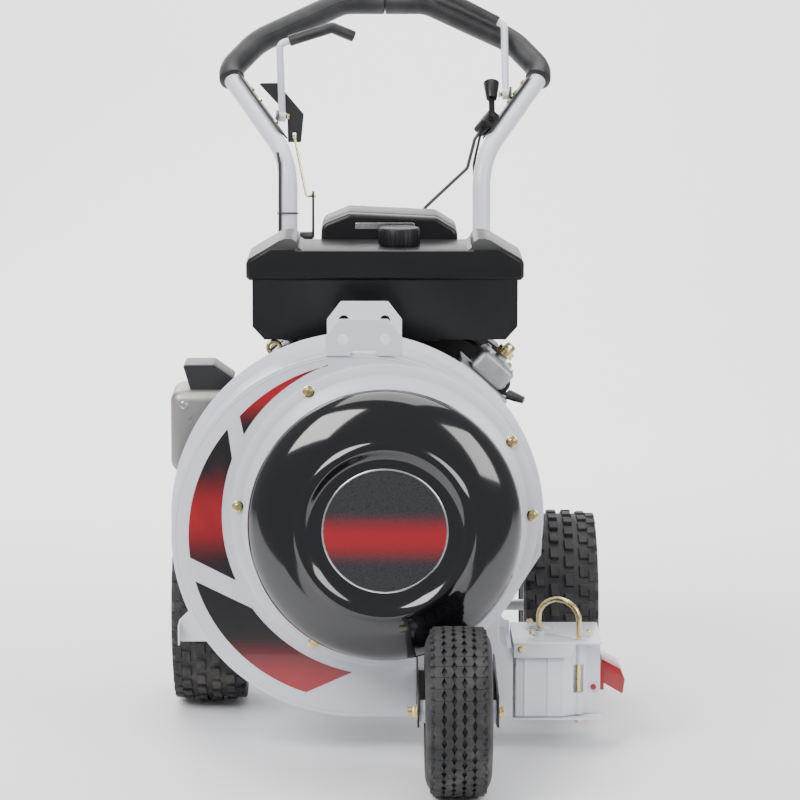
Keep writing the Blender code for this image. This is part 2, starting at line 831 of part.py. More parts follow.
def make_frame(white, black, alloy, steel):
    rail_low = RAIL_TOP - RAIL_SIZE
    start = BACK_Y + SHEET + GAP
    half = RAIL_SIZE / 2
    bore_half = half - SHEET
    for side, word in ((-1, "left"), (1, "right")):
        x = side * RAIL_X
        rail = box(f"frame_rail_{word}", (x - half, start, rail_low), (x + half, RAIL_END, RAIL_TOP))
        hanger_low = (x - HANGER / 2, REAR_Y - HANGER_HALF, REAR_R - 0.020)
        hanger_high = (x + HANGER / 2, REAR_Y + HANGER_HALF, rail_low + 0.001)
        hanger = box(f"hanger_{word}", hanger_low, hanger_high)
        tunnel_low = (x - bore_half, start - 0.01, rail_low + SHEET)
        tunnel_high = (x + bore_half, RAIL_END + 0.01, RAIL_TOP - SHEET)
        tunnel = box(f"tunnel_{word}", tunnel_low, tunnel_high)
        left = Vector((x - HANGER, REAR_Y, REAR_R))
        right = Vector((x + HANGER, REAR_Y, REAR_R))
        hole = bar(f"axle_hole_{word}", left, right, AXLE_R + RUNNING, 18)
        join(rail, hanger)
        cut(rail, tunnel, hole)
        finish(rail, white)

    deck_low = RAIL_TOP + GAP
    deck = box("engine_deck", (-DECK_HALF, start, deck_low), (DECK_HALF, DECK_BACK, deck_low + DECK))
    slot_half = INPUT_ROOT + PULLEY_LIP + 0.006
    slot_low = (-slot_half, start - 0.001, deck_low - 0.01)
    slot = box("belt_slot", slot_low, (slot_half, BELT_Y + 0.012, deck_low + 0.02))
    cut(deck, slot)
    finish(deck, black)

    low = RAIL_TOP + GAP
    high = low + RAIL_SIZE
    cross = box("rear_crossmember", (-CROSS_HALF, CROSS_Y - half, low), (CROSS_HALF, CROSS_Y + half, high))
    bores = []
    for side in (-1, 1):
        base = Vector((side * LEG_X, LEG_FOOT_Y, high + GAP))
        lean = (mirrored(KNEE, side) - base).normalized()
        socket_top = base + lean * SOCKET_HEIGHT
        join(cross, bar("leg_socket", base - lean * 0.012, socket_top, TUBE_R + SOCKET_WALL, 18))
        bores.append(bar("leg_bore", base - lean * GAP, base + lean * 0.2, TUBE_R + RUNNING, 18))
    cut(cross, *bores)
    finish(cross, white)

    case = box("transaxle", (-0.068, 0.326, REAR_R - 0.042), (0.068, 0.444, RAIL_TOP - 0.012))
    soften(case, 0.012)
    trumpet = bar("axle_trumpet", (-0.088, REAR_Y, REAR_R), (0.088, REAR_Y, REAR_R), 0.022, 18)
    pad = box("transaxle_pad", (-0.040, 0.350, RAIL_TOP - 0.020), (0.040, 0.430, RAIL_TOP))
    join(case, trumpet, pad)
    axle = bar("axle_bore", (-0.1, REAR_Y, REAR_R), (0.1, REAR_Y, REAR_R), AXLE_R + GAP, 18)
    nose = bar("input_bore", (0, 0.300, INPUT_Z), (0, 0.345, INPUT_Z), INPUT_SHAFT_R + RUNNING, 16)
    cut(case, axle, nose)
    finish(case, alloy)

    pin = CLUTCH_PIN
    swing = pivot_at("clutch_arm_axis", pin)
    foot = pin.z - 0.010
    edge = [(pin.x - 0.010, foot), (pin.x + 0.010, foot), (pin.x + 0.006, CLUTCH_ARM_HIGH)]
    edge.append((pin.x - 0.006, CLUTCH_ARM_HIGH))
    hole = circle(0.0025, (pin.x, CLUTCH_ARM_HIGH - 0.008), 10)
    arm = as_mesh(plate("clutch_arm", [rounded_loop(edge, 0.005), hole], pin.y + 0.004, pin.y + 0.007))
    join(arm, bar("clutch_boss", pin, pin + Y * 0.010, 0.007, 14))
    finish(arm, steel, swing)


def make_tie_plates(white):
    """The two lifting plates on top of the scroll, one on each side of the band."""
    plates = (("front", -GAP - SHEET, 0.657, 0.717), ("rear", BACK_Y + SHEET + GAP, 0.650, 0.723))
    left = TIE_X - TIE_HALF
    right = TIE_X + TIE_HALF
    for word, low, base, top in plates:
        notch = base + TIE_NOTCH
        shoulder = top - TIE_SHOULDER
        edge = [(left, base), (TIE_X - TIE_NOTCH_HALF, base), (TIE_X - TIE_NOTCH_HALF + 0.004, notch)]
        edge += [(TIE_X + TIE_NOTCH_HALF - 0.004, notch), (TIE_X + TIE_NOTCH_HALF, base), (right, base)]
        edge += [(right, shoulder), (TIE_X + TIE_CROWN_HALF, top)]
        edge += [(TIE_X - TIE_CROWN_HALF, top), (left, shoulder)]
        holes = [circle(TIE_HOLE_R, (TIE_X + side * TIE_HOLE_X, top - 0.032), 16) for side in (-1, 1)]
        finish(plate(f"tie_plate_{word}", [edge] + holes, low, low + SHEET), white)


# ---------------------------------------------------------------- outlet


def make_chute(white, rod_tip):
    """The outlet box, open at the front, with a lip over the door and the boss that seats the rod's tip."""
    low_x = DUCT_END + GAP
    front = -0.004
    body = box("outlet_chute", (low_x, front, CHUTE_LOW), (CHUTE_END, CHUTE_BACK, CHUTE_HIGH))
    room_low = (low_x - 0.01, front - 0.01, CHUTE_LOW + SHEET)
    room_high = (CHUTE_END + 0.01, CHUTE_BACK - SHEET, CHUTE_HIGH - SHEET)
    cut(body, box("chute_inside", room_low, room_high))

    left = low_x + 0.001
    right = HINGE_X - 0.006
    bottom = CHUTE_HIGH - LIP_DROP
    lip_edge = [(left, bottom), (DOOR_BEND + 0.012, bottom), (right, CHUTE_HIGH - 0.004), (right, CHUTE_HIGH)]
    lip_edge.append((left, CHUTE_HIGH))
    join(body, as_mesh(plate("chute_lip", [lip_edge], front - SHEET, front + 0.001)))

    beyond = CHUTE_END + 0.01
    near = front - 0.01
    corner = [(CHUTE_END - LIP_CORNER, near), (beyond, near), (beyond, near + LIP_CORNER + 0.02)]
    cut(body, as_mesh(plate("chute_corner", [corner], CHUTE_LOW - 0.01, CHUTE_HIGH + 0.01, Z)))
    seat = Vector((rod_tip.x, rod_tip.y, CHUTE_HIGH))
    join(body, bar("rod_spacer", seat - Z * 0.001, seat + Z * SPACER, 0.0095, 16))
    bottom_end = (HINGE_X, HINGE_Y, CHUTE_LOW - 0.01)
    top_end = (HINGE_X, HINGE_Y, CHUTE_HIGH + 0.01)
    cut(body, bar("hinge_hole", bottom_end, top_end, HINGE_ROD_R + GAP, 14))
    finish(body, white)


def make_deflector(white, red):
    """The hinged door inside the chute's open front, and the pedal that turns it."""
    swing = pivot_at("deflector_axis", (HINGE_X, HINGE_Y, CHUTE_LOW))
    bottom = CHUTE_LOW + SHEET + DOOR_CLEAR
    top = CHUTE_HIGH - SHEET - DOOR_CLEAR
    face = DOOR_FACE
    step_face = DOOR_STEP + face - 0.006
    outer = [(DOOR_START, face), (DOOR_BEND, face)]
    outer += [(HINGE_X + 0.012, step_face), (CHUTE_END - 0.001, step_face)]
    inner = [(x, y + SHEET) for x, y in outer]
    inner[1] = (DOOR_BEND - 0.0012, face + SHEET)
    inner[2] = (HINGE_X + 0.0108, step_face + SHEET)
    door = as_mesh(plate("deflector_door", [outer + inner[::-1]], bottom, top, Z))
    for x in (0.228, 0.266):
        join(door, box("door_rib", (x - 0.0015, face - 0.0012, bottom), (x + 0.0015, face + 0.001, top)))
    axis_low = Vector((HINGE_X, HINGE_Y, bottom))
    axis_high = Vector((HINGE_X, HINGE_Y, top))
    join(door, bar("door_knuckle", axis_low, axis_high, HINGE_ROD_R + 0.0035, 14))
    window_low = (HINGE_X - 0.007, -0.01, WINDOW_LOW)
    window = box("door_window", window_low, (HINGE_X + 0.0105, HINGE_Y + 0.0005, WINDOW_HIGH))
    notch_low = (HINGE_X - 0.0085, 0.0, WINDOW_LOW)
    notch = box("knuckle_notch", notch_low, (HINGE_X + 0.0085, HINGE_Y + 0.009, WINDOW_HIGH))
    bore = bar("knuckle_bore", axis_low - Z * 0.01, axis_high + Z * 0.01, HINGE_ROD_R + GAP, 14)
    stud = Vector((STUD_X, DOOR_STEP, STUD_Z))
    pedal_hole = bar("pedal_hole", stud - Y * 0.03, stud + Y * 0.03, STUD_R + GAP, 12)
    cut(door, window, notch, bore, pedal_hole)
    finish(door, white, swing)

    pad = CHUTE_END + 0.0025
    edge = [(pad, 0.112), (pad + 0.034, 0.092), (pad + 0.0375, 0.116), (pad + 0.030, 0.134), (pad, 0.150)]
    pedal = as_mesh(plate("deflector_pedal", [edge], PEDAL_NEAR, PEDAL_FAR))
    stem_low = (HINGE_X + 0.020, DOOR_STEP + SHEET + GAP - 0.0045, 0.100)
    stem = box("pedal_stem", stem_low, (pad + 0.003, DOOR_STEP + 0.012, 0.145))
    join(pedal, stem, bar("pedal_stud", stud - Y * 0.009, stud + Y * 0.004, STUD_R, 12))
    finish(pedal, red, swing)


def make_outlet(white, gold, red, steel):
    rod_tip = Vector((HINGE_X - 2 * ROD_BEND, HINGE_Y + ROD_LEAN, CHUTE_HIGH + SPACER + GAP))
    make_chute(white, rod_tip)
    make_deflector(white, red)

    shoulder = ROD_CROWN - ROD_BEND
    path = [(HINGE_X, HINGE_Y, CHUTE_LOW - 0.010), (HINGE_X, HINGE_Y, shoulder)]
    steps = 9
    for step in range(1, steps):
        angle = math.pi * step / steps
        x = HINGE_X - ROD_BEND + ROD_BEND * math.cos(angle)
        y = HINGE_Y + ROD_LEAN * (1 - math.cos(angle)) / 2
        path.append((x, y, shoulder + ROD_BEND * math.sin(angle)))
    path += [(rod_tip.x, rod_tip.y, shoulder), rod_tip]
    finish(pipe("hinge_rod", path, HINGE_ROD_R, 3), gold)

    near = HINGE_ROD_R + CLIP_WIRE + GAP
    level = rod_tip + Z * 0.004
    clip = [level + Vector((-0.016, -near, 0)), level + Vector((0.012, -near, 0))]
    clip += [level + Vector((0.022, -0.003, 0)), level + Vector((0.022, 0.005, 0))]
    clip += [level + Vector((0.012, near, 0)), level + Vector((-0.016, near, 0))]
    finish(pipe("hairpin_clip", clip, CLIP_WIRE, 2), steel)


# ---------------------------------------------------------------- engine


def bank_frame(side, y):
    """The cylinder's own frame: local Z runs out along its bore from the crank axis."""
    turn = Matrix.Rotation(side * BANK_ANGLE, 4, "Y")
    return Matrix.Translation((0, y, FAN_Z)) @ turn


def in_bank(name, side, y, low, high):
    """A block in a cylinder's frame."""
    low = Vector(low)
    high = Vector(high)
    size = Matrix.Diagonal((*(high - low), 1))
    place = bank_frame(side, y) @ Matrix.Translation((low + high) / 2)
    bm = bmesh.new()
    bmesh.ops.create_cube(bm, size=1.0, matrix=place @ size)
    return from_bmesh(name, bm)


def make_engine(cast, alloy, black, gold, grey):
    floor = RAIL_TOP + GAP + DECK + GAP
    outline = [(-CASE_HALF, floor), (CASE_HALF, floor), (CASE_HALF, 0.430), (0.040, CASE_TOP)]
    outline += [(-0.040, CASE_TOP), (-CASE_HALF, 0.430)]
    bearing = circle(JOURNAL_R + RUNNING, (0, FAN_Z), 16)
    case = as_mesh(plate("crankcase", [outline, bearing], ENGINE_FRONT, CASE_BACK))
    for side, y in ((-1, LEFT_BANK_Y), (1, RIGHT_BANK_Y)):
        width = CYLINDER_HALF + RUNNING
        depth = BANK_DEPTH / 2 + RUNNING
        start = CYLINDER_START - GAP
        room = in_bank("bank_room", side, y, (-width, -depth, start), (width, depth, HEAD_TOP))
        cut(case, room)
    finish(case, cast)

    for side, word, y in ((-1, "left", LEFT_BANK_Y), (1, "right", RIGHT_BANK_Y)):
        half = BANK_DEPTH / 2
        wide = CYLINDER_HALF
        low = (-wide, -half, CYLINDER_START)
        block = in_bank(f"cylinder_{word}", side, y, low, (wide, half, HEAD_TOP - GAP))
        bm = bmesh.new()
        fins = 6
        pitch = (HEAD_TOP - FIN_START) / fins
        for step in range(fins):
            middle = FIN_START + pitch * (step + 0.3)
            for edge in (-1, 1):
                place = bank_frame(side, y) @ Matrix.Translation((edge * wide, 0, middle))
                size = Matrix.Diagonal((0.024, BANK_DEPTH * 1.2, pitch * 0.5, 1))
                bmesh.ops.create_cube(bm, size=1.0, matrix=place @ size)
        cut(block, from_bmesh(f"fin_gaps_{word}", bm))
        finish(block, alloy)
        cover = in_bank(f"valve_cover_{word}", side, y, (-0.034, -0.045, HEAD_TOP), (0.034, 0.045, COVER_TOP))
        soften(cover, 0.006)
        if side > 0:
            base = bank_frame(side, y) @ Vector((0.0, 0, COVER_TOP - 0.004))
            tip = bank_frame(side, y) @ Vector((0.0, 0, COVER_TOP + 0.008))
            join(cover, bar("filler_neck", base, tip, 0.011, 14))
        finish(cover, alloy)

    frame = bank_frame(1, RIGHT_BANK_Y)
    seat = frame @ Vector((0, 0, COVER_TOP + 0.008 + GAP))
    out = (frame.to_3x3() @ Z).normalized()
    twist = pivot_at("oil_cap_axis", seat)
    cap = bar("oil_cap", seat, seat + out * 0.014, 0.015, 14)
    ear = slab("oil_cap_ear", seat + out * 0.017, frame.to_3x3() @ X, Y, (0.020, 0.005, 0.012))
    join(cap, ear)
    finish(cap, gold, twist)

    back = CASE_BACK + GAP
    right = [(0.120, 0.262), (0.165, 0.330), (0.190, 0.480), (0.205, 0.600), (0.125, SHROUD_TOP)]
    edge = right + [(-x, z) for x, z in right[::-1]]
    shroud = as_mesh(plate("engine_shroud", [edge], back, back + SHROUD_DEPTH))
    well = bar("flywheel_well", (0, back - 0.01, FAN_Z), (0, back + SHROUD_DEPTH - 0.004, FAN_Z), 0.100, 24)
    eye = bar("shroud_eye", (0, back, FAN_Z), (0, back + 0.2, FAN_Z), 0.080, 24)
    soften(shroud, 0.010)
    cut(shroud, well, eye)
    finish(shroud, black)

    front = back + SHROUD_DEPTH + GAP
    profile = [(0, front + 0.046), (0.060, front + 0.046), (0.098, front + 0.036), (0.105, front)]
    profile += [(0.101, front), (0.095, front + 0.032), (0.058, front + 0.042), (0, front + 0.042)]
    cover = turned("recoil_cover", profile, (0, 0, FAN_Z), (0, 1, 0), 24)
    out = Vector((math.cos(STARTER_ANGLE), 0, math.sin(STARTER_ANGLE)))
    middle = Vector((0, front + 0.018, FAN_Z))
    join(cover, bar("rope_guide", middle + out * 0.097, middle + out * 0.114, 0.009, 14))
    finish(cover, black)
    seat = middle + out * (0.114 + GAP)
    pull = pivot_at("starter_axis", seat)
    grip = slab("starter_grip", seat + out * 0.014, out, Y, (0.028, 0.022, 0.050))
    finish(soften(grip, 0.005), black, pull)

    low = SHROUD_TOP + GAP
    outline = [(-0.118, low), (0.126, low), (0.124, 0.815), (0.088, 0.838), (-0.062, 0.845), (-0.108, 0.826)]
    cleaner = as_mesh(plate("air_cleaner_cover", [outline], CLEANER_FRONT, CLEANER_BACK))
    soften(cleaner, 0.008)
    finish(cleaner, black)

    muffler = soften(box("muffler", MUFFLER_LOW, MUFFLER_HIGH), 0.018)
    bank = bank_frame(-1, EXHAUST_Y)
    port = bank @ Vector((-CYLINDER_HALF - GAP, 0, HEAD_TOP - 0.035))
    outlet = bank @ Vector((-CYLINDER_HALF - 0.030, 0, HEAD_TOP - 0.035))
    inside = Vector((MUFFLER_HIGH[0] - 0.010, EXHAUST_Y, MUFFLER_HIGH[2] - 0.060))
    stub = as_mesh(pipe("exhaust_stub", rounded([port, outlet, inside], 0.018, 3), 0.014, 3))
    top = MUFFLER_HIGH[2] - 0.001
    edge = [(-0.325, top), (-0.262, top), (-0.252, top + 0.018), (-0.286, top + 0.042), (-0.338, top + 0.042)]
    hood = as_mesh(plate("muffler_deflector", [edge], MUFFLER_LOW[1] + 0.018, MUFFLER_HIGH[1] - 0.030))
    join(muffler, stub, hood)
    finish(muffler, grey)

    stand_top = TANK_BASE - GAP
    stand_low = (-0.090, TANK_FRONT + 0.015, stand_top - SHEET)
    stand = box("tank_bracket", stand_low, (0.090, TANK_BACK - 0.015, stand_top))
    column = box("tank_column", (-0.018, 0.255, CASE_TOP + GAP), (0.018, 0.350, stand_top - 0.001))
    join(stand, column)
    finish(stand, black)


def make_tank(black):
    edge = [(-TANK_HALF + 0.020, TANK_BASE), (TANK_HALF - 0.020, TANK_BASE), (TANK_HALF, TANK_BASE + 0.022)]
    edge += [(TANK_HALF, TANK_SEAM + 0.001), (-TANK_HALF, TANK_SEAM + 0.001), (-TANK_HALF, TANK_BASE + 0.022)]
    wide = TANK_HALF + TANK_LIP
    lid_edge = [(-wide, TANK_SEAM), (wide, TANK_SEAM), (wide, TANK_SEAM + 0.033), (0.172, TANK_SHOULDER)]
    lid_edge += [(0.150, TANK_SHOULDER), (0.142, TANK_TOP), (-0.142, TANK_TOP), (-0.150, TANK_SHOULDER)]
    lid_edge += [(-0.172, TANK_SHOULDER), (-wide, TANK_SEAM + 0.033)]
    tank = as_mesh(plate("fuel_tank", [lid_edge], TANK_FRONT, TANK_BACK))
    soften(tank, 0.005)
    body = as_mesh(plate("tank_body", [edge], TANK_FRONT + 0.006, TANK_BACK - 0.004))
    slope = slab(
        "tank_front_slope",
        (0, TANK_FRONT - 0.012, TANK_TOP + 0.018),
        X,
        (0, 0.030, 0.036),
        (0.6, 0.16, 0.040),
    )
    seat = Vector((CAP_X, CAP_Y, TANK_TOP))
    neck = bar("filler_neck_tank", seat - Z * 0.01, seat + Z * NECK_HEIGHT, NECK_R, 20)
    join(tank, body)
    cut(tank, slope)
    join(tank, neck)
    finish(tank, black)

    twist = pivot_at("fuel_cap_axis", seat)
    inner = NECK_R + RUNNING
    roof = NECK_HEIGHT + RUNNING
    profile = [(0, CAP_HEIGHT), (CAP_R - 0.004, CAP_HEIGHT), (CAP_R, CAP_HEIGHT - 0.005), (CAP_R, GAP)]
    profile += [(inner, GAP), (inner, roof), (0, roof)]
    cap = turned("fuel_cap", profile, seat, (0, 0, 1), 20)
    finish(cap, black, twist)


# ---------------------------------------------------------------- handle and controls


def mirrored(point, side):
    return Vector((side * point[0], point[1], point[2]))


def leg_frame(side):
    """The straight stretch of a leg: its lower corner, its direction, the way inwards and the way back."""
    low = mirrored(KNEE, side)
    along = (mirrored(ELBOW, side) - low).normalized()
    inward = Vector((-side * along.z, 0, side * along.x)).normalized()
    inward *= -side * math.copysign(1, inward.x)
    back = along.cross(inward)
    return low, along, inward, back * math.copysign(1, back.y)


def make_handle(white, grip_black):
    foot = Vector((LEG_X, LEG_FOOT_Y, RAIL_TOP + RAIL_SIZE + GAP * 3))
    end = Vector((GAP, BAR_END.y, BAR_END.z))
    bends = [0, KNEE_BEND, ELBOW_BEND, HORN_BEND, BAR_BEND, 0]
    half = rounded([foot, KNEE, ELBOW, HORN, BAR_END, end], bends, BEND_STEPS)
    route = [mirrored(point, -1) for point in half[:-1]]
    route += [mirrored(point, 1) for point in reversed(half[:-1])]
    tube = as_mesh(pipe("handle_tube", route, TUBE_R, 3))
    pin = BELLCRANK_PIVOT
    inner = pin.x - BELLCRANK_HALF - GAP
    lug_edge = [(pin.y - 0.036, LUG_LOW), (pin.y - 0.004, LUG_LOW), (pin.y + 0.009, pin.z - 0.004)]
    lug_edge += [(pin.y + 0.004, pin.z + 0.009), (pin.y - 0.033, pin.z + 0.009)]
    lug = as_mesh(plate("bellcrank_lug", [lug_edge], inner - LUG_SHEET, inner, X))
    pin_end = pin + X * (BELLCRANK_HALF + 0.003)
    join(tube, lug, bar("bellcrank_pin", (inner - 0.002, pin.y, pin.z), pin_end, PIN_R, 12))
    finish(tube, white)

    elbow = BEND_STEPS + 2
    for side, word in ((-1, "left"), (1, "right")):
        path = [mirrored(point, side) for point in half[elbow + 2 :]]
        grip = as_mesh(pipe(f"grip_{word}", path, GRIP_R, 3))
        path = [mirrored(point, side) for point in half[elbow + 1 : -1]]
        path.append(mirrored((-0.03, BAR_END.y, BAR_END.z), side))
        cut(grip, as_mesh(pipe(f"grip_bore_{word}", path, TUBE_R + GRIP_CLEAR, 3)))
        finish(grip, grip_black)


def lever_eye(rod, pivot):
    """Gives a lever its eye, bored for the bracket's pin."""
    join(rod, bar("lever_eye", pivot - X * EYE_HALF, pivot + X * EYE_HALF, EYE_R, 14))
    cut(rod, bar("lever_bore", pivot - X * 0.02, pivot + X * 0.02, PIN_R + RUNNING, 12))


def make_levers(white):
    swing = pivot_at("drive_lever_axis", DRIVE_PIVOT)
    corners = [DRIVE_PIVOT, DRIVE_TOP, DRIVE_KNEE, DRIVE_END]
    rod = as_mesh(pipe("drive_lever", rounded(corners, LEVER_BEND, 3), LEVER_R))
    start = DRIVE_TOP.lerp(DRIVE_KNEE, 0.18)
    end = DRIVE_END + (DRIVE_END - DRIVE_KNEE) * 0.05
    sleeve = as_mesh(pipe("drive_grip", rounded([start, DRIVE_KNEE, end], LEVER_BEND, 3), LEVER_GRIP_R))
    face = DRIVE_PIVOT.y + 0.004
    edge = [(-0.176, 0.933), (-0.152, 0.933), (-0.147, 0.984)]
    edge += [(-0.195, 1.0405), (-0.229, 1.040), (-0.177, 0.984)]
    crank = as_mesh(plate("lever_crank_plate", [edge], face - SHEET, face))
    join(rod, sleeve, crank)
    lever_eye(rod, DRIVE_PIVOT)
    wide = LINK_R + RUNNING
    slot_low = LINK_TOP - Vector((wide, 0.02, PLATE_SLOT))
    cut(rod, box("link_slot", slot_low, LINK_TOP + Vector((wide, 0.02, PLATE_SLOT))))
    finish(rod, white, swing)

    swing = pivot_at("brake_lever_axis", BRAKE_PIVOT)
    corners = [BRAKE_PIVOT, BRAKE_TOP, BRAKE_KNEE, BRAKE_END]
    rod = as_mesh(pipe("brake_lever", rounded(corners, LEVER_BEND, 3), LEVER_R))
    start = BRAKE_TOP.lerp(BRAKE_KNEE, 0.14)
    end = BRAKE_END + (BRAKE_END - BRAKE_KNEE) * 0.05
    sleeve = as_mesh(pipe("brake_grip", rounded([start, BRAKE_KNEE, end], LEVER_BEND, 3), LEVER_GRIP_R))
    join(rod, sleeve)
    lever_eye(rod, BRAKE_PIVOT)
    finish(rod, white, swing)


def make_brackets(black):
    """The control bracket on the inner side of each leg: a strip along the tube, a tab and a pivot pin."""
    level = TUBE_R + GAP + SHEET / 2
    left = (-1, "left", DRIVE_PIVOT, LEFT_STRIP)
    right = (1, "right", BRAKE_PIVOT, RIGHT_STRIP)
    for side, word, pivot, shares in (left, right):
        low, along, inward, back = leg_frame(side)
        reach = (ELBOW - KNEE).length
        first = low + along * reach * shares[0] + inward * level
        last = low + along * reach * shares[1] + inward * level
        size = ((last - first).length, STRIP_WIDTH, SHEET)
        strip = slab(f"control_bracket_{word}", (first + last) / 2, along, back, size)
        inner = pivot.x + side * (EYE_HALF + RUNNING)
        middle = inner + side * TAB_SHEET / 2
        travel = (middle - low.x - inward.x * level - back.x * TAB_SEAT) / along.x
        base = low + along * travel + inward * level + back * TAB_SEAT
        ahead = Vector((0, pivot.y - base.y, pivot.z - base.z)).normalized()
        width = Vector((0, -ahead.z, ahead.y)) * TAB_WIDTH / 2
        tip = Vector((middle, pivot.y, pivot.z)) + ahead * TAB_WIDTH / 2
        edge = [point.yz for point in (base - width, tip - width, tip + width, base + width)]
        tab = as_mesh(plate(f"bracket_tab_{word}", [edge], -TAB_SHEET / 2, TAB_SHEET / 2, X))
        tab.location.x = middle
        far = pivot - X * side * (EYE_HALF + 0.003)
        pin = bar(f"bracket_pin_{word}", far, (middle, pivot.y, pivot.z), PIN_R, 12)
        join(strip, tab, pin)
        finish(strip, black)


def make_throttle(black, gloss, sheath):
    low, along, inward, back = leg_frame(1)
    level = TUBE_R + GAP + SHEET + GAP + THROTTLE_THICK / 2
    centre = low + along * THROTTLE_SEAT + inward * level
    size = (THROTTLE_LONG, THROTTLE_WIDE, THROTTLE_THICK)
    body = soften(slab("throttle_box", centre, along, back, size), 0.003)
    face = centre - back * THROTTLE_WIDE / 2
    join(body, bar("throttle_pin", face + back * 0.002, face - back * 0.006, PIN_R, 12))
    finish(body, black)

    swing = pivot_at("throttle_lever_axis", face)
    turn = THROTTLE_REST
    out = along * math.cos(turn) + inward * math.sin(turn)
    across = inward * math.cos(turn) - along * math.sin(turn)
    seat = face - back * (GAP + 0.00125)
    arm = slab("throttle_lever", seat + out * 0.020, out, across, (0.056, 0.011, 0.0025))
    knob = bar("throttle_knob", seat + out * 0.040, seat + out * 0.074, 0.0095, 14, 0.0145)
    join(arm, knob)
    cut(arm, bar("throttle_bore", face + back * 0.01, face - back * 0.01, PIN_R + RUNNING, 12))
    finish(arm, gloss, swing)

    start = centre - along * (THROTTLE_LONG / 2 + GAP)
    wall = CLEANER_BACK + GAP
    entry = Vector((0.055, wall, 0.790))
    path = [start, start - along * 0.030, (0.146, 0.640, 0.900), (0.070, 0.585, 0.835)]
    path += [entry + Y * 0.028, entry]
    finish(pipe("throttle_cable", rounded(path, CABLE_BEND, 3), CABLE_R, 1), sheath)


def make_drive_linkage(black, gold, sheath):
    """The bellcrank on the left leg, the rod from the drive lever to it, and the cable to the clutch arm."""
    pin = BELLCRANK_PIVOT
    swing = pivot_at("bellcrank_axis", pin)
    hub = bar("bellcrank", pin - X * BELLCRANK_HALF, pin + X * BELLCRANK_HALF, BELLCRANK_R, 16)
    tip = pin + Z * BELLCRANK_ARM
    arm_x = LINK_FOOT.x
    head = tip.z + LINK_SLOT_ALONG + 0.0035
    edge = [(pin.y - BELLCRANK_R, pin.z), (pin.y + BELLCRANK_R, pin.z), (tip.y + BELLCRANK_TIP, head)]
    edge.append((tip.y - BELLCRANK_TIP, head))
    arm = as_mesh(plate("bellcrank_arm", [edge], arm_x - 0.002, arm_x + 0.002, X))
    join(hub, arm)
    bore = bar("bellcrank_bore", pin - X * 0.03, pin + X * 0.03, PIN_R + RUNNING, 12)
    slot_low = (arm_x - 0.01, tip.y - LINK_SLOT_ACROSS, tip.z - LINK_SLOT_ALONG)
    slot_high = (arm_x + 0.01, tip.y + LINK_SLOT_ACROSS, tip.z + LINK_SLOT_ALONG)
    cut(hub, bore, box("bellcrank_slot", slot_low, slot_high))
    finish(hub, black, swing)

    swing = pivot_at("link_rod_axis", LINK_TOP)
    side = arm_x - 0.012
    path = [LINK_TOP + Y * 0.009, LINK_TOP - Y * 0.012, (side, tip.y, tip.z), (arm_x + 0.005, tip.y, tip.z)]
    finish(pipe("link_rod", rounded(path, 0.004, 3), LINK_R, 1), gold, swing)

    top = Vector((pin.x - BELLCRANK_HALF - GAP - LUG_SHEET / 2, pin.y - 0.016, LUG_LOW - GAP))
    run = CLUTCH_CABLE
    path = [top, (top.x, top.y - 0.012, 0.60), (-0.125, 0.565, 0.400), (run.x, CABLE_BACK, 0.300)]
    path += [(run.x, CABLE_BACK, run.z), run, run + X * 0.022]
    finish(pipe("drive_cable", rounded(path, CABLE_BEND, 3), CABLE_R, 1), sheath)


# ---------------------------------------------------------------- assembly


def stand_on_origin():
    """Moves the root so that the origin is at the middle of the object's base."""
    bpy.context.view_layer.update()
    graph = bpy.context.evaluated_depsgraph_get()
    low = Vector((1e9, 1e9, 1e9))
    high = -low
    for obj in PARTS.objects:
        if obj.type == "EMPTY":
            continue
        evaluated = obj.evaluated_get(graph)
        mesh = evaluated.to_mesh()
        for vertex in mesh.vertices:
            place = evaluated.matrix_world @ vertex.co
            low = Vector(map(min, low, place))
            high = Vector(map(max, high, place))
        evaluated.to_mesh_clear()
    ROOT.location = (-(low.x + high.x) / 2, -(low.y + high.y) / 2, -low.z)


def make_blower():
    white = paint("white powder coat", (0.83, 0.85, 0.90), 0.35)
    gloss = paint("gloss black", (0.012, 0.012, 0.014), 0.08)
    black = paint("black plastic", (0.035, 0.035, 0.038), 0.50)
    dark = paint("black steel", (0.05, 0.05, 0.055), 0.45, 0.3)
    steel = paint("steel", (0.55, 0.55, 0.56), 0.35, 1.0)
    alloy = paint("cast aluminium", (0.62, 0.63, 0.64), 0.42, 1.0)
    cast = paint("engine casting", (0.30, 0.30, 0.31), 0.50, 0.8)
    grey = paint("muffler steel", (0.42, 0.41, 0.40), 0.40, 0.9)
    gold = paint("yellow zinc", (0.72, 0.56, 0.24), 0.30, 1.0)
    red = paint("red coat", (0.45, 0.03, 0.05), 0.35)
    rubber = paint("tyre rubber", (0.030, 0.030, 0.032), 0.80)

    make_scroll(white)
    make_intake(white, dark, gloss)
    make_fan(steel, alloy, rubber)
    make_wheels(rubber, white, steel, gold)
    make_fork(dark)
    make_frame(white, dark, alloy, steel)
    make_tie_plates(white)
    make_outlet(white, gold, red, steel)
    make_engine(cast, alloy, black, gold, grey)
    make_tank(black)
    make_handle(white, black)
    make_levers(white)
    make_brackets(dark)
    make_throttle(black, gloss, rubber)
    make_drive_linkage(dark, gold, rubber)
    stand_on_origin()


clear_scene()
PARTS = new_collection("leaf_blower")
CUTTERS = new_collection("cutters")
ROOT = bpy.data.objects.new("machine", None)
PARTS.objects.link(ROOT)
make_blower()
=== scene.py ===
"""The looks of the walk behind leaf blower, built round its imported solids.

Lengths are metres. Pieces are laid out from the fan's axis plane (x = 0), the front face of the
scroll (y = 0) and the ground (z = 0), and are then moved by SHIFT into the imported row's frame.
"""

import math

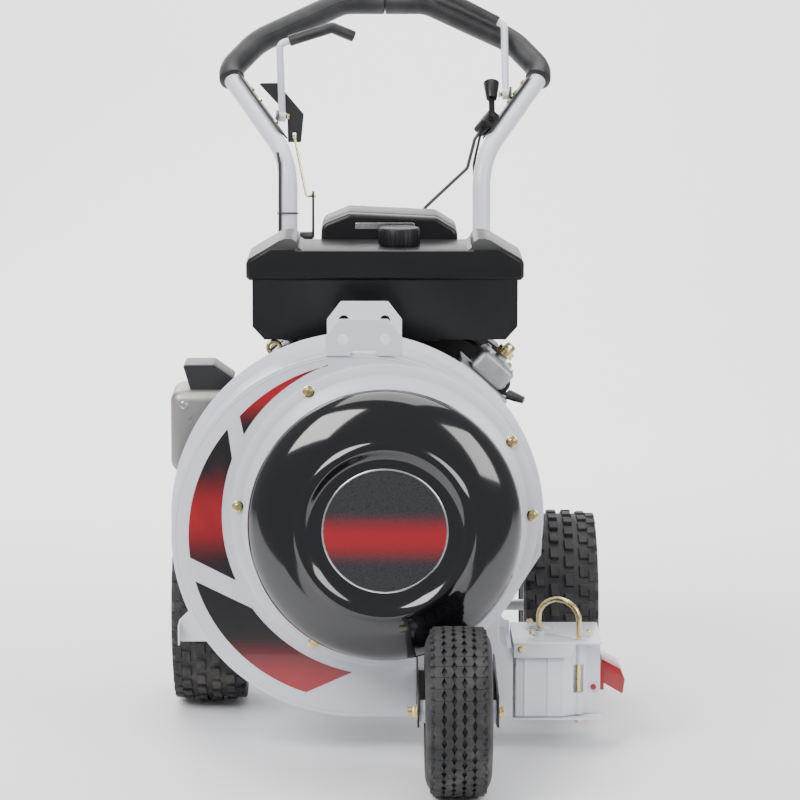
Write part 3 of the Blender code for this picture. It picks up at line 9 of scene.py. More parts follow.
import bmesh
import bpy
from bpy.props import FloatProperty, FloatVectorProperty, IntProperty, PointerProperty
from mathutils import Matrix, Vector


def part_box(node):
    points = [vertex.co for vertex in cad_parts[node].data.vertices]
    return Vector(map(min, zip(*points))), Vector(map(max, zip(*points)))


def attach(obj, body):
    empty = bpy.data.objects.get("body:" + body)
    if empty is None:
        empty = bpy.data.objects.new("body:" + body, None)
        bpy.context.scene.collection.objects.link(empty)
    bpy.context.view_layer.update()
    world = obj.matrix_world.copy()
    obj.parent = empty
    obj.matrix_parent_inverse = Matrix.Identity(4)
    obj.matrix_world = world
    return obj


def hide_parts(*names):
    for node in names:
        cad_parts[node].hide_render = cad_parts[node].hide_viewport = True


bl_info = {
    "name": "Leaf blower looks",
    "version": (1, 0, 0),
    "blender": (4, 5, 0),
    "location": "View3D > Sidebar > Blower",
    "description": "Builds the finished pieces of a walk behind leaf blower round its packed solids",
    "category": "Object",
}

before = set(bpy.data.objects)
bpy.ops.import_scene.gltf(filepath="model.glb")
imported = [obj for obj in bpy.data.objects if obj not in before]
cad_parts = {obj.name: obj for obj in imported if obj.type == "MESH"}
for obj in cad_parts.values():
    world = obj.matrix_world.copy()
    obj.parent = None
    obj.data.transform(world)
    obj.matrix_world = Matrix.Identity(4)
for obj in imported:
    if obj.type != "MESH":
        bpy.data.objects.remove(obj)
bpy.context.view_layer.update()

X = Vector((1, 0, 0))
Y = Vector((0, 1, 0))
Z = Vector((0, 0, 1))


def middle_of(node):
    low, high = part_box(node)
    return (low + high) / 2


SHIFT = Vector((middle_of("inlet_ring").x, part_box("scroll_front_plate")[0].y, 0))
FAN_Z = middle_of("inlet_ring").z
RING_R = (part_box("inlet_ring")[1].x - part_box("inlet_ring")[0].x) / 2
POD_R = (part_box("intake_pod")[1].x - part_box("intake_pod")[0].x) / 2
FRONT_TYRE_R = (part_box("front_tyre")[1].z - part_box("front_tyre")[0].z) / 2
REAR_TYRE_R = (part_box("rear_tyre_left")[1].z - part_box("rear_tyre_left")[0].z) / 2


# ---------------------------------------------------------------- settings


class BlowerPaint(bpy.types.PropertyGroup):
    powder: FloatVectorProperty(
        name="Powder coat", description="Colour of the white sheet metal", subtype="COLOR",
        default=(0.72, 0.74, 0.80), min=0, max=1
    )
    dome: FloatVectorProperty(
        name="Dome", description="Colour of the gloss intake dome", subtype="COLOR",
        default=(0.004, 0.004, 0.005), min=0, max=1
    )
    plastic: FloatVectorProperty(
        name="Plastic", description="Colour of the moulded black covers", subtype="COLOR",
        default=(0.009, 0.009, 0.010), min=0, max=1
    )
    plating: FloatVectorProperty(
        name="Plating", description="Colour of the yellow zinc fasteners", subtype="COLOR",
        default=(0.72, 0.55, 0.26), min=0, max=1
    )
    accent: FloatVectorProperty(
        name="Accent", description="Colour of the stripes and of the pedal", subtype="COLOR",
        default=(0.30, 0.008, 0.013), min=0, max=1
    )
    rubber: FloatVectorProperty(
        name="Rubber", description="Colour of the tyres", subtype="COLOR", default=(0.016, 0.016, 0.017),
        min=0, max=1
    )


class BlowerSizes(bpy.types.PropertyGroup):
    edge: FloatProperty(
        name="Edge", description="Rounding of sheet metal edges", default=0.0006, min=0.0001, max=0.002,
        unit="LENGTH"
    )
    guard_wires: IntProperty(
        name="Guard wires", description="Upright wires round the intake", default=60, min=20, max=120
    )
    front_blocks: IntProperty(
        name="Front tread", description="Tread blocks round the front tyre", default=44, min=12, max=80
    )
    rear_blocks: IntProperty(
        name="Rear tread", description="Tread blocks round a rear tyre", default=30, min=12, max=80
    )
    fins: IntProperty(name="Fins", description="Cooling fins on each cylinder", default=9, min=4, max=16)
    cap_ribs: IntProperty(name="Cap ribs", description="Ribs round the fuel cap", default=28, min=8, max=60)
    twist_seed: IntProperty(
        name="Bolt seed", description="Seed for how far each bolt is turned", default=7, min=0, max=99
    )


class BlowerStage(bpy.types.PropertyGroup):
    floor: FloatVectorProperty(
        name="Floor", description="Colour of the floor", subtype="COLOR", default=(0.93, 0.93, 0.94), min=0,
        max=1
    )
    key_power: FloatProperty(
        name="Key light", description="Strength of the large soft light", default=210, min=0, unit="POWER"
    )
    fill_power: FloatProperty(
        name="Fill light", description="Strength of the side light", default=90, min=0, unit="POWER"
    )


def paint():
    return bpy.context.scene.blower_paint


def sizes():
    return bpy.context.scene.blower_sizes


# ---------------------------------------------------------------- shader values


class Graph:
    """A material's node tree, with one method that adds a node and wraps its output."""

    def __init__(self, name):
        self.material = bpy.data.materials.new(name)
        self.material.use_nodes = True
        self.tree = self.material.node_tree
        self.tree.nodes.clear()
        self.shader = self.tree.nodes.new("ShaderNodeBsdfPrincipled")
        end = self.tree.nodes.new("ShaderNodeOutputMaterial")
        self.tree.links.new(self.shader.outputs["BSDF"], end.inputs["Surface"])

    def put(self, socket, value):
        if isinstance(value, Value):
            self.tree.links.new(value.socket, socket)
        elif value is not None:
            socket.default_value = value

    def node(self, kind, settings=None, inputs=None, output=0):
        made = self.tree.nodes.new("ShaderNode" + kind)
        for key, value in (settings or {}).items():
            setattr(made, key, value)
        for key, value in (inputs or {}).items():
            self.put(made.inputs[key], value)
        return Value(self, made.outputs[output])

    def place(self):
        return self.node("TexCoord", output="Object")

    def noise(self, scale, detail=4.0, rough=0.5, place=None, lean=0.0):
        inputs = {
            "Vector": place or self.place(), "Scale": scale, "Detail": detail, "Roughness": rough,
            "Distortion": lean
        }
        return self.node("TexNoise", {}, inputs, "Fac")

    def mix(self, share, first, second):
        made = self.tree.nodes.new("ShaderNodeMix")
        made.data_type = "RGBA"
        self.put(made.inputs[0], share)
        self.put(made.inputs[6], first)
        self.put(made.inputs[7], second)
        return Value(self, made.outputs[2])

    def ramp(self, value, low, high):
        inputs = {"Value": value, "From Min": low, "From Max": high}
        return self.node("MapRange", {"interpolation_type": "SMOOTHSTEP"}, inputs)

    def stretch(self, scale):
        return self.node("Mapping", {}, {"Vector": self.place(), "Scale": scale})

    def bump(self, height, distance):
        return self.node("Bump", {}, {"Height": height, "Distance": distance})

    def finish(self, **values):
        names = {
            "colour": "Base Color", "rough": "Roughness", "metal": "Metallic", "coat": "Coat Weight",
            "normal": "Normal"
        }
        names["coat_rough"] = "Coat Roughness"
        for key, value in values.items():
            self.put(self.shader.inputs[names[key]], value)
        return self.material


class Value:
    """A number or vector in a shader, which takes Python's arithmetic."""

    def __init__(self, graph, socket):
        self.graph = graph
        self.socket = socket

    def maths(self, operation, first, second=None):
        inputs = {0: first}
        if second is not None:
            inputs[1] = second
        return self.graph.node("Math", {"operation": operation}, inputs)

    def __add__(self, other):
        return self.maths("ADD", self, other)

    def __radd__(self, other):
        return self.maths("ADD", other, self)

    def __sub__(self, other):
        return self.maths("SUBTRACT", self, other)

    def __rsub__(self, other):
        return self.maths("SUBTRACT", other, self)

    def __mul__(self, other):
        return self.maths("MULTIPLY", self, other)

    def __rmul__(self, other):
        return self.maths("MULTIPLY", other, self)

    def __abs__(self):
        return self.maths("ABSOLUTE", self)

    def part(self, index):
        return self.graph.node("SeparateXYZ", {}, {0: self}, index)


def tint(colour, factor):
    return (*(min(1.0, channel * factor) for channel in colour[:3]), 1)


# ---------------------------------------------------------------- materials


def dust(graph, colour, shade=(0.45, 0.42, 0.38, 1), amount=0.10):
    """Fine dust that gathers low down and on what faces up."""
    up = graph.node("NewGeometry", output="Normal").part(2)
    height = graph.place().part(2)
    low = graph.ramp(height, 0.35, 0.0)
    patch = graph.noise(18, 6, 0.6)
    share = graph.ramp(patch, 0.42, 0.75) * (low * 0.7 + graph.ramp(up, 0.5, 1.0) * 0.3) * amount
    return graph.mix(share, colour, shade)


def powder_coat():
    base = paint().powder
    graph = Graph("powder_coat")
    cloud = graph.noise(5, 5)
    colour = graph.mix(graph.ramp(cloud, 0.35, 0.7) * 0.6, tint(base, 0.95), tint(base, 1.04))
    colour = dust(graph, colour)
    grain = graph.noise(900, 3, 0.5)
    flow = graph.noise(140, 2, 0.4)
    rough = 0.30 + graph.noise(28, 4) * 0.14
    normal = graph.bump(grain * 0.35 + flow, 0.00009)
    return graph.finish(colour=colour, rough=rough, coat=0.35, coat_rough=0.18, normal=normal)


def dome_gloss():
    base = paint().dome
    graph = Graph("dome_gloss")
    specks = graph.ramp(graph.noise(420, 2, 0.7), 0.70, 0.80) * graph.ramp(graph.noise(9, 4), 0.45, 0.7)
    colour = graph.mix(specks * 0.10, tint(base, 1.0), (0.20, 0.19, 0.18, 1))
    scratch = graph.noise(1, 2, 0.5, graph.stretch((300, 22, 22)), 0.2)
    rough = 0.09 + graph.ramp(graph.noise(11, 5), 0.4, 0.8) * 0.05 + graph.ramp(scratch, 0.66, 0.74) * 0.05
    normal = graph.bump(graph.noise(26, 2, 0.4), 0.00012)
    return graph.finish(colour=colour, rough=rough, coat=0.8, coat_rough=0.08, normal=normal)


def moulded_plastic():
    base = paint().plastic
    graph = Graph("moulded_plastic")
    cloud = graph.noise(12, 5)
    colour = graph.mix(graph.ramp(cloud, 0.3, 0.75), tint(base, 0.85), tint(base, 1.25))
    colour = dust(graph, colour, (0.16, 0.15, 0.14, 1), 0.35)
    grain = graph.node("TexVoronoi", {"feature": "F1"}, {"Vector": graph.place(), "Scale": 1100})
    rough = 0.38 + graph.noise(60, 5) * 0.16
    graph.shader.inputs["Specular IOR Level"].default_value = 0.30
    return graph.finish(colour=colour, rough=rough, normal=graph.bump(grain, 0.00008))


def gloss_plastic():
    base = paint().plastic
    graph = Graph("gloss_plastic")
    colour = dust(graph, tint(base, 0.6), (0.16, 0.15, 0.14, 1), 0.25)
    rough = 0.34 + graph.noise(30, 5) * 0.12
    normal = graph.bump(graph.noise(260, 3, 0.5), 0.00006)
    graph.shader.inputs["Specular IOR Level"].default_value = 0.35
    return graph.finish(colour=colour, rough=rough, coat=0.15, coat_rough=0.25, normal=normal)


def black_enamel():
    graph = Graph("black_enamel")
    chip = graph.ramp(graph.noise(75, 8, 0.7), 0.70, 0.74)
    colour = graph.mix(chip * 0.7, (0.020, 0.020, 0.022, 1), (0.20, 0.19, 0.18, 1))
    colour = dust(graph, colour, (0.20, 0.18, 0.16, 1), 0.35)
    rough = 0.32 + graph.noise(24, 5) * 0.18
    return graph.finish(
        colour=colour, rough=rough, metal=chip * 0.8, normal=graph.bump(graph.noise(300, 2), 0.00008)
    )


def foam_grip():
    graph = Graph("grip_rubber")
    cells = graph.node("TexVoronoi", {"feature": "F1"}, {"Vector": graph.place(), "Scale": 620})
    colour = graph.mix(
        graph.ramp(graph.noise(30, 5), 0.3, 0.8), (0.012, 0.012, 0.013, 1), (0.030, 0.030, 0.031, 1)
    )
    rough = 0.42 + graph.noise(90, 4) * 0.18
    return graph.finish(colour=colour, rough=rough, normal=graph.bump(cells, 0.00010))


def tyre_rubber():
    base = paint().rubber
    graph = Graph("tyre_rubber")
    worn = graph.noise(26, 7, 0.65)
    colour = graph.mix(graph.ramp(worn, 0.35, 0.8), tint(base, 0.9), tint(base, 1.9))
    colour = dust(graph, colour, (0.20, 0.17, 0.14, 1), 0.55)
    rough = 0.58 + graph.noise(60, 5) * 0.20
    normal = graph.bump(graph.noise(420, 4, 0.6), 0.00016)
    return graph.finish(colour=colour, rough=rough, normal=normal)


def cable_sheath():
    graph = Graph("cable_sheath")
    colour = graph.mix(graph.noise(60, 5), (0.012, 0.012, 0.013, 1), (0.028, 0.028, 0.030, 1))
    rough = 0.30 + graph.noise(120, 4) * 0.15
    return graph.finish(colour=colour, rough=rough, normal=graph.bump(graph.noise(380, 3), 0.00006))


def metal(name, base, rough, spread, scale, stretch=(1, 1, 1), depth=0.00005, second=None):
    """Bare or plated metal with a grain that can run one way."""
    graph = Graph(name)
    grain = graph.noise(scale, 4, 0.6, graph.stretch(stretch))
    cloud = graph.noise(16, 6)
    colour = graph.mix(graph.ramp(cloud, 0.3, 0.72), tint(base, 0.82), second or tint(base, 1.12))
    return graph.finish(
        colour=colour, rough=rough + grain * spread, metal=1.0, normal=graph.bump(grain, depth)
    )


def yellow_zinc():
    base = paint().plating
    graph = Graph("yellow_zinc")
    film = graph.noise(42, 5, 0.6)
    warm = graph.mix(graph.ramp(film, 0.30, 0.62), tint(base, 1.0), (0.80, 0.66, 0.30, 1))
    colour = graph.mix(graph.ramp(graph.noise(85, 3), 0.56, 0.74) * 0.45, warm, (0.52, 0.46, 0.30, 1))
    rough = 0.18 + graph.noise(160, 5) * 0.20
    return graph.finish(
        colour=colour, rough=rough, metal=1.0, normal=graph.bump(graph.noise(500, 3), 0.00004)
    )


def cast_metal(name, base):
    graph = Graph(name)
    sand = graph.noise(520, 5, 0.7)
    soot = graph.ramp(graph.noise(20, 6, 0.6), 0.45, 0.75)
    colour = graph.mix(soot * 0.55, tint(base, 1.05), tint(base, 0.45))
    rough = 0.42 + sand * 0.22
    return graph.finish(colour=colour, rough=rough, metal=0.9, normal=graph.bump(sand, 0.00022))


def muffler_steel():
    graph = Graph("muffler_steel")
    heat = graph.ramp(graph.place().part(2) + graph.noise(14, 4) * 0.05, 0.44, 0.60)
    base = graph.mix(heat * 0.6, (0.30, 0.30, 0.31, 1), (0.42, 0.38, 0.33, 1))
    spot = graph.ramp(graph.noise(60, 7, 0.7), 0.60, 0.72)
    colour = graph.mix(spot * 0.5, base, (0.16, 0.11, 0.08, 1))
    rough = 0.34 + graph.noise(110, 6) * 0.26
    return graph.finish(
        colour=colour, rough=rough, metal=0.85, normal=graph.bump(graph.noise(260, 4), 0.00012)
    )


def red_coat():
    base = paint().accent
    graph = Graph("red_coat")
    scuff = graph.ramp(graph.noise(48, 8, 0.7), 0.62, 0.70)
    colour = graph.mix(scuff * 0.5, tint(base, 1.0), (0.20, 0.05, 0.05, 1))
    rough = 0.22 + graph.noise(40, 5) * 0.20
    return graph.finish(colour=colour, rough=rough, coat=0.4, normal=graph.bump(graph.noise(240, 3), 0.00010))


def stripe_film():
    """Gloss film that runs from black at the ends of a stripe to the accent colour between them."""
    graph = Graph("stripe_film")
    share = graph.node("Attribute", {"attribute_name": "warmth"}, output="Fac")
    grain = graph.noise(700, 2)
    colour = graph.mix(
        graph.ramp(share + grain * 0.04, 0.05, 0.95), (0.010, 0.009, 0.010, 1), tint(paint().accent, 1.2)
    )
    return graph.finish(
        colour=colour, rough=0.20 + graph.noise(40, 4) * 0.10, coat=0.5, normal=graph.bump(grain, 0.00002)
    )


def badge_face():
    """The dome's plain badge: a dark disc with a soft band of the accent colour across it."""
    graph = Graph("badge_face")
    height = graph.place().part(2) - FAN_Z + 0.012
    band = graph.ramp(abs(height), 0.046, 0.002)
    mesh_dots = graph.node("TexVoronoi", {"feature": "F1"}, {"Vector": graph.place(), "Scale": 700})
    ground = graph.mix(mesh_dots * 1.2, (0.05, 0.05, 0.055, 1), (0.012, 0.012, 0.013, 1))
    colour = graph.mix(band * 0.9, ground, tint(paint().accent, 1.2))
    rough = 0.20 + graph.noise(45, 4) * 0.10
    return graph.finish(colour=colour, rough=rough, coat=0.5, normal=graph.bump(graph.noise(300, 2), 0.00003))


def stage_floor():
    graph = Graph("stage_floor")
    base = bpy.context.scene.blower_stage.floor
    colour = graph.mix(graph.noise(2.0, 3), tint(base, 0.99), tint(base, 1.02))
    return graph.finish(
        colour=colour, rough=0.55 + graph.noise(3, 3) * 0.1, normal=graph.bump(graph.noise(60, 2), 0.0002)
    )


MAKERS = {
    "powder": powder_coat,
    "dome": dome_gloss,
    "plastic": moulded_plastic,
    "gloss": gloss_plastic,
    "enamel": black_enamel,
    "grip": foam_grip,
    "tyre": tyre_rubber,
    "sheath": cable_sheath,
    "zinc": yellow_zinc,
    "muffler": muffler_steel,
    "red": red_coat,
    "stripe": stripe_film,
    "badge": badge_face,
    "floor": stage_floor,
    "bright": lambda: metal("bright_zinc", (0.62, 0.62, 0.63), 0.20, 0.22, 240, (1, 1, 1)),
    "brushed": lambda: metal("brushed_silver", (0.74, 0.74, 0.75), 0.16, 0.20, 30, (2, 40, 40)),
    "alloy": lambda: cast_metal("cast_alloy", (0.46, 0.47, 0.48)),
    "casting": lambda: cast_metal("engine_casting", (0.12, 0.12, 0.125)),
}
MADE = {}


def finish_of(key):
    if key not in MADE:
        MADE[key] = MAKERS[key]()
    return MADE[key]


# ---------------------------------------------------------------- meshes


def new_object(name, mesh):
    obj = bpy.data.objects.new(name, mesh)
    bpy.context.scene.collection.objects.link(obj)
    return obj


def mesh_object(name, points, faces):
    mesh = bpy.data.meshes.new(name)
    mesh.from_pydata([tuple(point) for point in points], [], faces)
    mesh.update()
    return new_object(name, mesh)


def plain(obj):
    """The evaluated object as one plain mesh at the origin."""
    bpy.context.view_layer.update()
    made = obj.evaluated_get(bpy.context.evaluated_depsgraph_get())
    mesh = bpy.data.meshes.new_from_object(made)
    mesh.transform(obj.matrix_world)
    name = obj.name
    bpy.data.objects.remove(obj)
    mesh.name = name
    return new_object(name, mesh)


def merged(objs, name):
    """Several plain objects as one."""
    bm = bmesh.new()
    for obj in objs:
        bm.from_mesh(obj.data)
        bpy.data.objects.remove(obj)
    mesh = bpy.data.meshes.new(name)
    bm.to_mesh(mesh)
    bm.free()
    return new_object(name, mesh)


def shade(mesh, degrees):
    """Smooth faces, with the edges that turn sharply left sharp."""
    bm = bmesh.new()
    bm.from_mesh(mesh)
    limit = math.radians(degrees)
    for face in bm.faces:
        face.smooth = True
    for edge in bm.edges:
        edge.smooth = len(edge.link_faces) == 2 and edge.calc_face_angle(0) < limit
    bm.to_mesh(mesh)
    bm.free()


def lathe(name, profile, centre, axis, steps=96, closed=False):
    """A profile of (radius, height) turned about an axis."""
    axis = Vector(axis)
    side = Z if abs(axis.z) < 0.5 else X
    other = axis.cross(side)
    centre = Vector(centre)
    points = []
    rings = []
    for radius, height in profile:
        if radius < 1e-7:
            rings.append([len(points)])
            points.append(centre + axis * height)
            continue
        rings.append(list(range(len(points), len(points) + steps)))
        for step in range(steps):
            angle = math.tau * step / steps
            points.append(
                centre + axis * height + (side * math.cos(angle) + other * math.sin(angle)) * radius
            )
    faces = []
    pairs = list(zip(rings, rings[1:]))
    if closed:
        pairs.append((rings[-1], rings[0]))
    for low, high in pairs:
        for step in range(steps):
            after = (step + 1) % steps
            if len(low) == 1 and len(high) > 1:
                faces.append((low[0], high[step], high[after]))
            elif len(high) == 1 and len(low) > 1:
                faces.append((low[step], high[0], low[after]))
            elif len(low) > 1:
                faces.append((low[step], high[step], high[after], low[after]))
    obj = mesh_object(name, points, faces)
    outwards(obj.data)
    return obj


def outwards(mesh):
    bm = bmesh.new()
    bm.from_mesh(mesh)
    bmesh.ops.recalc_face_normals(bm, faces=bm.faces)
    bm.to_mesh(mesh)
    bm.free()


def rounded(corners, radii, steps=8):
    """Points along a path whose inner corners are rounded: one radius for all, or one for each corner."""
    corners = [Vector(corner).to_3d() for corner in corners]
    if not isinstance(radii, (list, tuple)):
        radii = [radii] * len(corners)
    path = [corners[0]]
    for before, here, after, radius in zip(corners, corners[1:], corners[2:], radii[1:]):
        back = (before - here).normalized()
        ahead = (after - here).normalized()
        if radius == 0 or back.angle(ahead) > math.pi - 0.01:
            path.append(here)
            continue
        half = back.angle(ahead) / 2
        centre = here + (back + ahead).normalized() * radius / math.sin(half)
        start = here + back * radius / math.tan(half) - centre
        end = here + ahead * radius / math.tan(half) - centre
        sweep = start.rotation_difference(end)
        for step in range(steps + 1):
            turn = sweep.copy()
            turn.angle = sweep.angle * step / steps
            path.append(centre + turn @ start)
    path.append(corners[-1])
    return path


def rounded_loop(corners, radius, steps=6):
    corners = [Vector(corner).to_3d() for corner in corners]
    return rounded([corners[-1]] + corners + [corners[0]], radius, steps)[1:-1]


def tube(name, path, radii, sides=24, ends=True, across=1.0):
    """Round stock along a path: one radius, or one for each point."""
    path = [Vector(point) for point in path]
    if not isinstance(radii, (list, tuple)):
        radii = [radii] * len(path)
    if ends:
        ahead = (path[1] - path[0]).normalized()
        behind = (path[-1] - path[-2]).normalized()
        ease = min(radii[0], radii[-1]) * 0.12
        path = [path[0], path[0] + ahead * ease] + path[1:-1] + [path[-1] - behind * ease, path[-1]]
        radii = [radii[0] - ease, radii[0]] + list(radii[1:-1]) + [radii[-1], radii[-1] - ease]
    points = []
    tangents = []
    for index, here in enumerate(path):
        before = path[max(index - 1, 0)]
        after = path[min(index + 1, len(path) - 1)]
        tangents.append((after - before).normalized())
    side = tangents[0].orthogonal().normalized()
    if abs(tangents[0].dot(Y)) < 0.9:
        side = tangents[0].cross(Y).normalized()
    last = tangents[0]
    for here, tangent, radius in zip(path, tangents, radii):
        side = last.rotation_difference(tangent) @ side
        last = tangent
        other = tangent.cross(side)
        for step in range(sides):
            angle = math.tau * step / sides
            points.append(here + (side * math.cos(angle) + other * math.sin(angle) * across) * radius)
    faces = []
    for ring in range(len(path) - 1):
        for step in range(sides):
            after = (step + 1) % sides
            low = ring * sides
            faces.append((low + step, low + after, low + sides + after, low + sides + step))
    faces.append(tuple(range(sides))[::-1])
    faces.append(tuple(range(len(points) - sides, len(points))))
    return mesh_object(name, points, faces)


def plate(name, outlines, low, high, axis=Y, edge=None):
    """Flat stock with rounded edges between two levels on an axis; the first outline is its edge."""
    edge = sizes().edge if edge is None else edge
    curve = bpy.data.curves.new(name, "CURVE")
    curve.dimensions = "2D"
    curve.fill_mode = "BOTH"
    curve.extrude = (high - low) / 2 - edge
    curve.bevel_depth = edge
    curve.bevel_resolution = 2
    curve.offset = -edge
    for outline in outlines:
        spline = curve.splines.new("POLY")
        spline.points.add(len(outline) - 1)
        spline.use_cyclic_u = True
        for point, place in zip(spline.points, outline):
            point.co = (place[0], place[1], 0, 1)
    obj = new_object(name, curve)
    if axis.y:
        turn = Matrix((X, Z, -Y)).transposed().to_4x4()
    elif axis.x:
        turn = Matrix((Y, Z, X)).transposed().to_4x4()
    else:
        turn = Matrix.Identity(4)
    obj.matrix_world = Matrix.Translation(axis * (low + high) / 2) @ turn
    return plain(obj)


def block(name, low, high, edge=0.001, segments=3):
    low = Vector(low)
    high = Vector(high)
    bm = bmesh.new()
    bmesh.ops.create_cube(bm, size=1.0)
    bmesh.ops.scale(bm, vec=high - low, verts=bm.verts)
    bmesh.ops.translate(bm, vec=(high + low) / 2, verts=bm.verts)
    bmesh.ops.bevel(bm, geom=bm.edges, offset=edge, segments=segments, profile=0.5, affect="EDGES")
    mesh = bpy.data.meshes.new(name)
    bm.to_mesh(mesh)
    bm.free()
    return new_object(name, mesh)


def moved(obj, matrix):
    obj.data.transform(matrix)
    return obj


def solids_of(node):
    """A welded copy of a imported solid, with its flat faces made whole."""
    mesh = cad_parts[node].data.copy()
    mesh.name = node + "_finished"
    bm = bmesh.new()
    bm.from_mesh(mesh)
    bmesh.ops.remove_doubles(bm, verts=bm.verts, dist=0.00002)
    bmesh.ops.dissolve_limit(bm, angle_limit=math.radians(1.5), verts=bm.verts, edges=bm.edges)
    bmesh.ops.translate(bm, vec=-SHIFT, verts=bm.verts)
    bm.to_mesh(mesh)
    bm.free()
    return new_object(node + "_finished", mesh)


def eased(obj, width, segments=3, angle=32):
    """Rounds an object's sharp edges."""
    rule = obj.modifiers.new("Ease", "BEVEL")
    rule.width = width
    rule.segments = segments
    rule.limit_method = "ANGLE"
    rule.angle_limit = math.radians(angle)
    rule.use_clamp_overlap = True
    rule.harden_normals = False
    return plain(obj)


def settle(obj, body, key, *nodes, angle=32):
    """Moves a finished piece into the row's frame, paints it and lets it ride its body."""
    obj.data.transform(Matrix.Translation(SHIFT))
    shade(obj.data, angle)
    obj.data.materials.clear()
    obj.data.materials.append(finish_of(key))
    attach(obj, body)
    if nodes:
        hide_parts(*nodes)
    return obj


def refine(node, body, key, width=0.0008, angle=32):
    """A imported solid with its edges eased, standing for the solid itself."""
    return settle(eased(solids_of(node), width), body, key, node, angle=angle)


# ---------------------------------------------------------------- repeating things


def tree_with(name, sockets):
    tree = bpy.data.node_groups.new(name, "GeometryNodeTree")
    tree.interface.new_socket("Geometry", in_out="INPUT", socket_type="NodeSocketGeometry")
    for label, kind in sockets:
        tree.interface.new_socket(label, in_out="INPUT", socket_type="NodeSocket" + kind)
    tree.interface.new_socket("Geometry", in_out="OUTPUT", socket_type="NodeSocketGeometry")
    start = tree.nodes.new("NodeGroupInput")
    return tree, start


def end_tree(tree, start, geometry):
    real = tree.nodes.new("GeometryNodeRealizeInstances")
    colour = tree.nodes.new("GeometryNodeSetMaterial")
    end = tree.nodes.new("NodeGroupOutput")
    tree.links.new(geometry, real.inputs["Geometry"])
    tree.links.new(real.outputs["Geometry"], colour.inputs["Geometry"])
    tree.links.new(start.outputs["Material"], colour.inputs["Material"])
    tree.links.new(colour.outputs["Geometry"], end.inputs["Geometry"])
    return tree


def piece_of(tree, start):
    info = tree.nodes.new("GeometryNodeObjectInfo")
    info.transform_space = "ORIGINAL"
    tree.links.new(start.outputs["Piece"], info.inputs["Object"])
    return info.outputs["Geometry"]


def ring_tree():
    """Copies of a piece, turned by even steps about Z."""
    tree, start = tree_with(
        "Ring of copies",
        [("Piece", "Object"), ("Count", "Int"), ("Arc", "Float"), ("Material", "Material")]
    )
    line = tree.nodes.new("GeometryNodeMeshLine")
    index = tree.nodes.new("GeometryNodeInputIndex")
    share = tree.nodes.new("ShaderNodeMath")
    turn = tree.nodes.new("ShaderNodeMath")
    angles = tree.nodes.new("ShaderNodeCombineXYZ")
    copies = tree.nodes.new("GeometryNodeInstanceOnPoints")
    share.operation = "DIVIDE"
    turn.operation = "MULTIPLY"
    line.inputs["Offset"].default_value = (0, 0, 0)
    tree.links.new(start.outputs["Count"], line.inputs["Count"])
    tree.links.new(index.outputs[0], share.inputs[0])
    tree.links.new(start.outputs["Count"], share.inputs[1])
    tree.links.new(share.outputs[0], turn.inputs[0])
    tree.links.new(start.outputs["Arc"], turn.inputs[1])
    tree.links.new(turn.outputs[0], angles.inputs["Z"])
    tree.links.new(line.outputs["Mesh"], copies.inputs["Points"])
    tree.links.new(piece_of(tree, start), copies.inputs["Instance"])
    tree.links.new(angles.outputs[0], copies.inputs["Rotation"])
    return end_tree(tree, start, copies.outputs["Instances"])


def row_tree():
    """Copies of a piece in a straight row."""
    tree, start = tree_with(
        "Row of copies",
        [("Piece", "Object"), ("Count", "Int"), ("Step", "Vector"), ("Material", "Material")]
    )
    line = tree.nodes.new("GeometryNodeMeshLine")
    copies = tree.nodes.new("GeometryNodeInstanceOnPoints")
    tree.links.new(start.outputs["Count"], line.inputs["Count"])
    tree.links.new(start.outputs["Step"], line.inputs["Offset"])
    tree.links.new(line.outputs["Mesh"], copies.inputs["Points"])
    tree.links.new(piece_of(tree, start), copies.inputs["Instance"])
    return end_tree(tree, start, copies.outputs["Instances"])


def bolt_tree():
    """A fastener on every point of a mesh, facing the way its attribute says and turned at random."""
    sockets = [("Piece", "Object"), ("Seed", "Int"), ("Material", "Material")]
    tree, start = tree_with("Fasteners", sockets)
    facing = tree.nodes.new("GeometryNodeInputNamedAttribute")
    facing.data_type = "FLOAT_VECTOR"
    facing.inputs["Name"].default_value = "facing"
    size = tree.nodes.new("GeometryNodeInputNamedAttribute")
    size.data_type = "FLOAT"
    size.inputs["Name"].default_value = "size"
    aim = tree.nodes.new("FunctionNodeAlignRotationToVector")
    aim.axis = "Z"
    chance = tree.nodes.new("FunctionNodeRandomValue")
    chance.data_type = "FLOAT"
    chance.inputs["Max"].default_value = math.tau
    twist = tree.nodes.new("ShaderNodeCombineXYZ")
    spin = tree.nodes.new("FunctionNodeRotateRotation")
    spin.rotation_space = "LOCAL"
    copies = tree.nodes.new("GeometryNodeInstanceOnPoints")
    value = next(s for s in chance.outputs if s.enabled)
    vector = next(s for s in facing.outputs if s.enabled)
    number = next(s for s in size.outputs if s.enabled)
    tree.links.new(vector, aim.inputs["Vector"])
    tree.links.new(start.outputs["Seed"], chance.inputs["Seed"])
    tree.links.new(value, twist.inputs["Z"])
    tree.links.new(aim.outputs[0], spin.inputs["Rotation"])
    tree.links.new(twist.outputs[0], spin.inputs["Rotate By"])
    tree.links.new(start.outputs["Geometry"], copies.inputs["Points"])
    tree.links.new(piece_of(tree, start), copies.inputs["Instance"])
    tree.links.new(spin.outputs[0], copies.inputs["Rotation"])
    tree.links.new(number, copies.inputs["Scale"])
    return end_tree(tree, start, copies.outputs["Instances"])


TREES = {}


